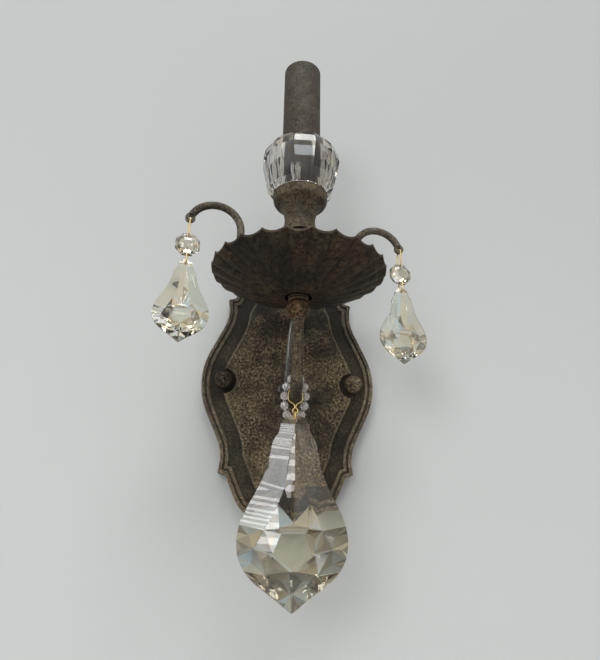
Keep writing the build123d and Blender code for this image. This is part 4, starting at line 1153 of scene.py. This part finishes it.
@dataclass
class DropChain:
    """Octagon and small drop below one side arm, with their wire links."""

    finishes: Finishes
    side: Side
    turn: float = 9.3
    hole: float = 0.0051
    hole_radius: float = 0.0011
    drill: float = 0.02

    def build(self) -> None:
        """Makes the stones and dresses the links."""
        word = self.side.word
        turn = Matrix.Rotation(math.radians(self.side.value + self.turn), 4, "Z")
        self._octagon("octagon_" + word, turn)
        drop = HungDrop("small_drop_" + word, self.finishes.glass, 0.031, 0.008, 0.0027, drill=0.03)
        drop.build(turn)
        dress(self.finishes.wire, "upper_link_" + word, "lower_link_" + word)

    def _octagon(self, node: str, turn: Matrix) -> None:
        """Makes the octagon with its two holes.

        Args:
            node: The node that it stands for.
            turn: Its turn about the vertical.
        """
        stone = new_object(node.replace("octagon", "octagon_cut"), OctagonCut().build(), self.finishes.glass)
        centre = middle(node)
        stone.data.transform(Matrix.Translation(centre) @ turn)
        for end in (1, -1):
            hole = centre + Vector((0.0, 0.0, end * self.hole))
            cut_through(stone, hole, turn @ Vector((0.0, 1.0, 0.0)), self.hole_radius, self.drill)
        polish_facets(stone)
        fitted(stone, node, "crystal", node)


@dataclass
class LargeDrop:
    """Large drop below the arm with its small link and the hanger wire."""

    finishes: Finishes

    def build(self) -> None:
        """Makes the drop and dresses the wires."""
        HungDrop("large_drop", self.finishes.glass, 0.0586, 0.014, 0.0032).build(Matrix.Identity(4))
        dress(self.finishes.wire, "jump_link", "hanger_wire")


@dataclass
class Garland:
    """Loop of small cut beads slung round the low bend of the arm."""

    finishes: Finishes
    bead: float = 0.0025
    facets: int = 10
    rows: tuple[tuple[float, float], ...] = (
        (0.38, -0.96), (0.80, -0.62), (1.0, 0.0), (0.80, 0.62), (0.38, 0.96))

    def build(self) -> None:
        """Makes the beads on their wire."""
        centres = self._centres()
        build = bmesh.new()
        for index, centre in enumerate(centres):
            heading = (centres[(index + 1) % len(centres)] - centres[index - 1]).normalized()
            turn = heading.to_track_quat("Z", "Y").to_matrix().to_4x4()
            self._bead(build, Matrix.Translation(centre) @ turn)
        beads = new_object("cut_beads", build, self.finishes.bead_glass)
        fitted(beads, "frame", "crystal", "garland_beads")
        dress(self.finishes.thread, "garland_wire")

    def _centres(self) -> list[Vector]:
        """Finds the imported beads.

        Returns:
            Their middles, in order round the loop.
        """
        build = bmesh.new()
        build.from_mesh(cad("garland_beads").data)
        bmesh.ops.remove_doubles(build, verts=build.verts, dist=1e-6)
        left = dict.fromkeys(build.verts)
        centres = []
        while left:
            group = [left.popitem()[0]]
            for vert in group:
                for edge in vert.link_edges:
                    other = edge.other_vert(vert)
                    if other in left:
                        del left[other]
                        group.append(other)
            centres.append(sum((vert.co for vert in group), Vector()) / len(group))
        build.free()
        heart = sum(centres, Vector()) / len(centres)
        centres.sort(key=lambda point: math.atan2(point.x - heart.x, point.z - heart.z))
        return centres

    def _bead(self, build: Build, place: Matrix) -> None:
        """One bead, whose rows of facets are half a facet out of step.

        Args:
            build: Working mesh.
            place: Where the bead goes, threaded along its own Z.
        """
        rings = []
        for row, (radius, height) in enumerate(self.rows):
            ring = []
            for index in range(self.facets):
                angle = 2 * math.pi * (index + 0.5 * (row % 2)) / self.facets
                point = Vector((radius * math.cos(angle), radius * math.sin(angle), height)) * self.bead
                ring.append(build.verts.new(place @ point))
            rings.append(ring)
        for row, (low, high) in enumerate(zip(rings, rings[1:])):
            for index in range(self.facets):
                after = (index + 1) % self.facets
                if row % 2 == 0:
                    build.faces.new([low[index], low[after], high[index]])
                    build.faces.new([low[after], high[after], high[index]])
                else:
                    build.faces.new([low[index], high[after], high[index]])
                    build.faces.new([low[index], low[after], high[after]])
        build.faces.new(rings[0])
        build.faces.new(list(reversed(rings[-1])))


@dataclass
class LampLead:
    """Insulated lead from the socket down the stem, beside the arm and into the plate."""

    finishes: Finishes
    diameter: float = 0.0022
    length: float = 0.25
    route: tuple[Point, ...] = (
        (0.0, -0.0754, 0.17715), (0.0, -0.0754, 0.032), (-0.0033, -0.0697, 0.0223), (-0.0045, -0.069, 0.008),
        (-0.0049, -0.0678, -0.0045), (-0.0051, -0.0605, -0.0126), (-0.0053, -0.045, -0.012),
        (-0.0053, -0.028, -0.0054), (-0.0052, -0.0135, -0.0046), (-0.0052, -0.003, -0.0046))

    def build(self) -> None:
        """Makes the lead and dresses its bushing."""
        curve = bpy.data.curves.new("lamp_lead_run", "CURVE")
        curve.dimensions = "3D"
        curve.bevel_depth = self.diameter / 2
        curve.bevel_resolution = 5
        curve.resolution_u = 16
        curve.use_fill_caps = True
        spline = curve.splines.new("NURBS")
        spline.points.add(len(self.route) - 1)
        for point, place in zip(spline.points, self.route):
            point.co = (*place, 1.0)
        spline.order_u = 3
        spline.use_endpoint_u = True
        curve.materials.append(self.finishes.lead)
        lead = bpy.data.objects.new("lamp_lead_run", curve)
        bpy.context.scene.collection.objects.link(lead)
        fitted(lead, "frame", "lead_plastic", "lamp_lead")
        dress(self.finishes.lead, "lead_bushing")


# ------------------------------------------------------------------ studio
@dataclass
class Softbox:
    """One soft lamp."""

    name: str
    place: Point
    target: Point
    size: tuple[float, float]
    power: float
    colour: Colour = (1.0, 1.0, 1.0)

    def build(self) -> None:
        """Makes the lamp."""
        light = bpy.data.lights.new(self.name, "AREA")
        light.shape = "RECTANGLE"
        light.size, light.size_y = self.size
        light.energy = self.power
        light.color = self.colour
        lamp = bpy.data.objects.new(self.name, light)
        lamp.location = self.place
        aim = Vector(self.target) - Vector(self.place)
        lamp.rotation_euler = aim.to_track_quat("-Z", "Y").to_euler()
        bpy.context.scene.collection.objects.link(lamp)


@dataclass
class Studio:
    """Wall, floor, lamps and the camera at the photograph's viewing angle."""

    camera_place: Point = (-0.02602, -0.36527, -0.09067)
    pitch: float = 20.125
    yaw: float = 5.392
    roll: float = 1.026
    focal: float = 28.816
    wall_colour: Colour = (0.478, 0.488, 0.483)
    # Painted shade on the upper wall, evening out the top lamp.
    wall_shaded_top: Colour = (0.395, 0.403, 0.399)
    floor_colour: Colour = (0.50, 0.505, 0.50)
    backdrop: float = 3.0
    aim: Point = (0.0, -0.07, -0.06)
    slats: int = 13
    lowest_slat: float = 0.08
    slat_pitch: float = 0.046

    def build(self) -> None:
        """Makes the whole set."""
        self._camera()
        wall = Backing("wall_paint", self.wall_colour, self.wall_shaded_top).make()
        self._plane("wall", wall, (0.0, 0.0008, 0.8), Matrix.Rotation(math.radians(90), 4, "X"))
        floor = Backing("floor_paint", self.floor_colour, self.floor_colour).make()
        self._plane("floor", floor, (0.0, -1.5, -0.7), Matrix.Identity(4))
        Softbox("key", (-0.64, -1.40, 0.38), self.aim, (0.66, 0.66), 5.5).build()
        for slat in range(self.slats):
            height = self.lowest_slat + self.slat_pitch * slat
            Softbox("slat_%d" % slat, (-0.62, -1.36, height), self.aim, (0.62, 0.02), 0.22).build()
        blue = (0.85, 0.95, 1.0)
        Softbox("strip", (0.14, -1.5, 0.56), (0.0, -0.10, 0.125), (0.55, 0.03), 0.34, blue).build()
        Softbox("top", (0.2, -1.7, 2.5), (0.0, -0.05, 0.0), (1.6, 1.2), 52.0).build()
        self._room()
        bpy.context.scene.view_settings.view_transform = "Standard"

    def _room(self) -> None:
        """Lights the room softly, brighter from above than from the front."""
        world = bpy.data.worlds.new("room")
        bpy.context.scene.world = world
        graph = Graph(world)
        way = graph.node("ShaderNodeTexCoord").outputs["Generated"]
        parts = graph.node("ShaderNodeSeparateXYZ", {}, {0: way})
        up = Value(graph, parts.outputs[2]).above(-0.25, 0.75)
        front = (Value(graph, parts.outputs[1]) * -1.0).above(0.1, 0.9)
        light = graph.blend((0.60, 0.61, 0.62), (1.10, 1.11, 1.13), up)
        light = graph.blend(light, (0.34, 0.34, 0.34), front * (1.0 - up))
        noise = graph.node("ShaderNodeTexNoise", {}, {"Vector": way, "Scale": 2.6, "Detail": 2.0})
        patches = Value(graph, noise.outputs[0]).above(0.38, 0.62)
        light = graph.blend(light, graph.blend((0.10, 0.10, 0.11), (1.5, 1.48, 1.42), patches), 0.45)
        seen = graph.node("ShaderNodeLightPath").outputs["Is Camera Ray"]
        light = graph.blend(light, (0.80, 0.81, 0.81), seen)
        back = graph.node("ShaderNodeBackground", {}, {"Color": light, "Strength": 1.0})
        graph.node("ShaderNodeOutputWorld", {}, {"Surface": back.outputs[0]})

    def _camera(self) -> None:
        """Places the camera."""
        lens = bpy.data.cameras.new("camera")
        lens.sensor_width = 36.0
        lens.lens = self.focal
        lens.clip_start = 0.01
        lens.dof.use_dof = False
        camera = bpy.data.objects.new("camera", lens)
        up, turn, lean = (math.radians(angle) for angle in (self.pitch, self.yaw, self.roll))
        ahead = Vector((math.sin(turn) * math.cos(up), math.cos(turn) * math.cos(up), math.sin(up)))
        level = Vector((math.cos(turn), -math.sin(turn), 0.0))
        over = level.cross(ahead)
        right = math.cos(lean) * level + math.sin(lean) * over
        above = math.cos(lean) * over - math.sin(lean) * level
        camera.matrix_world = Matrix((
            (right.x, above.x, -ahead.x, self.camera_place[0]),
            (right.y, above.y, -ahead.y, self.camera_place[1]),
            (right.z, above.z, -ahead.z, self.camera_place[2]),
            (0.0, 0.0, 0.0, 1.0),
        ))
        bpy.context.scene.collection.objects.link(camera)
        bpy.context.scene.camera = camera

    def _plane(self, name: str, material: Material, place: Point, turn: Matrix) -> None:
        """Makes one backdrop plane.

        Args:
            name: Name of the plane.
            material: Its paint.
            place: Its middle.
            turn: Its attitude; it faces its own +Z.
        """
        build = bmesh.new()
        bmesh.ops.create_grid(build, x_segments=1, y_segments=1, size=self.backdrop)
        plane = new_object(name, build, material)
        plane.matrix_world = Matrix.Translation(place) @ turn


def main() -> None:
    """Builds the sconce and its studio."""
    logging.basicConfig(level=logging.INFO, format="%(name)s: %(message)s")
    Studio().build()
    finishes = Finishes()
    parts: Iterable[Any] = (
        LampLead(finishes), WallFixing(finishes), ArmAndStem(finishes), Candle(finishes),
        CrystalCup(finishes), DropChain(finishes, Side.LEFT), DropChain(finishes, Side.RIGHT),
        LargeDrop(finishes), Garland(finishes),
    )
    for part in parts:
        part.build()
        LOG.info("built %s", type(part).__name__)


if __name__ == "__main__":
    main()
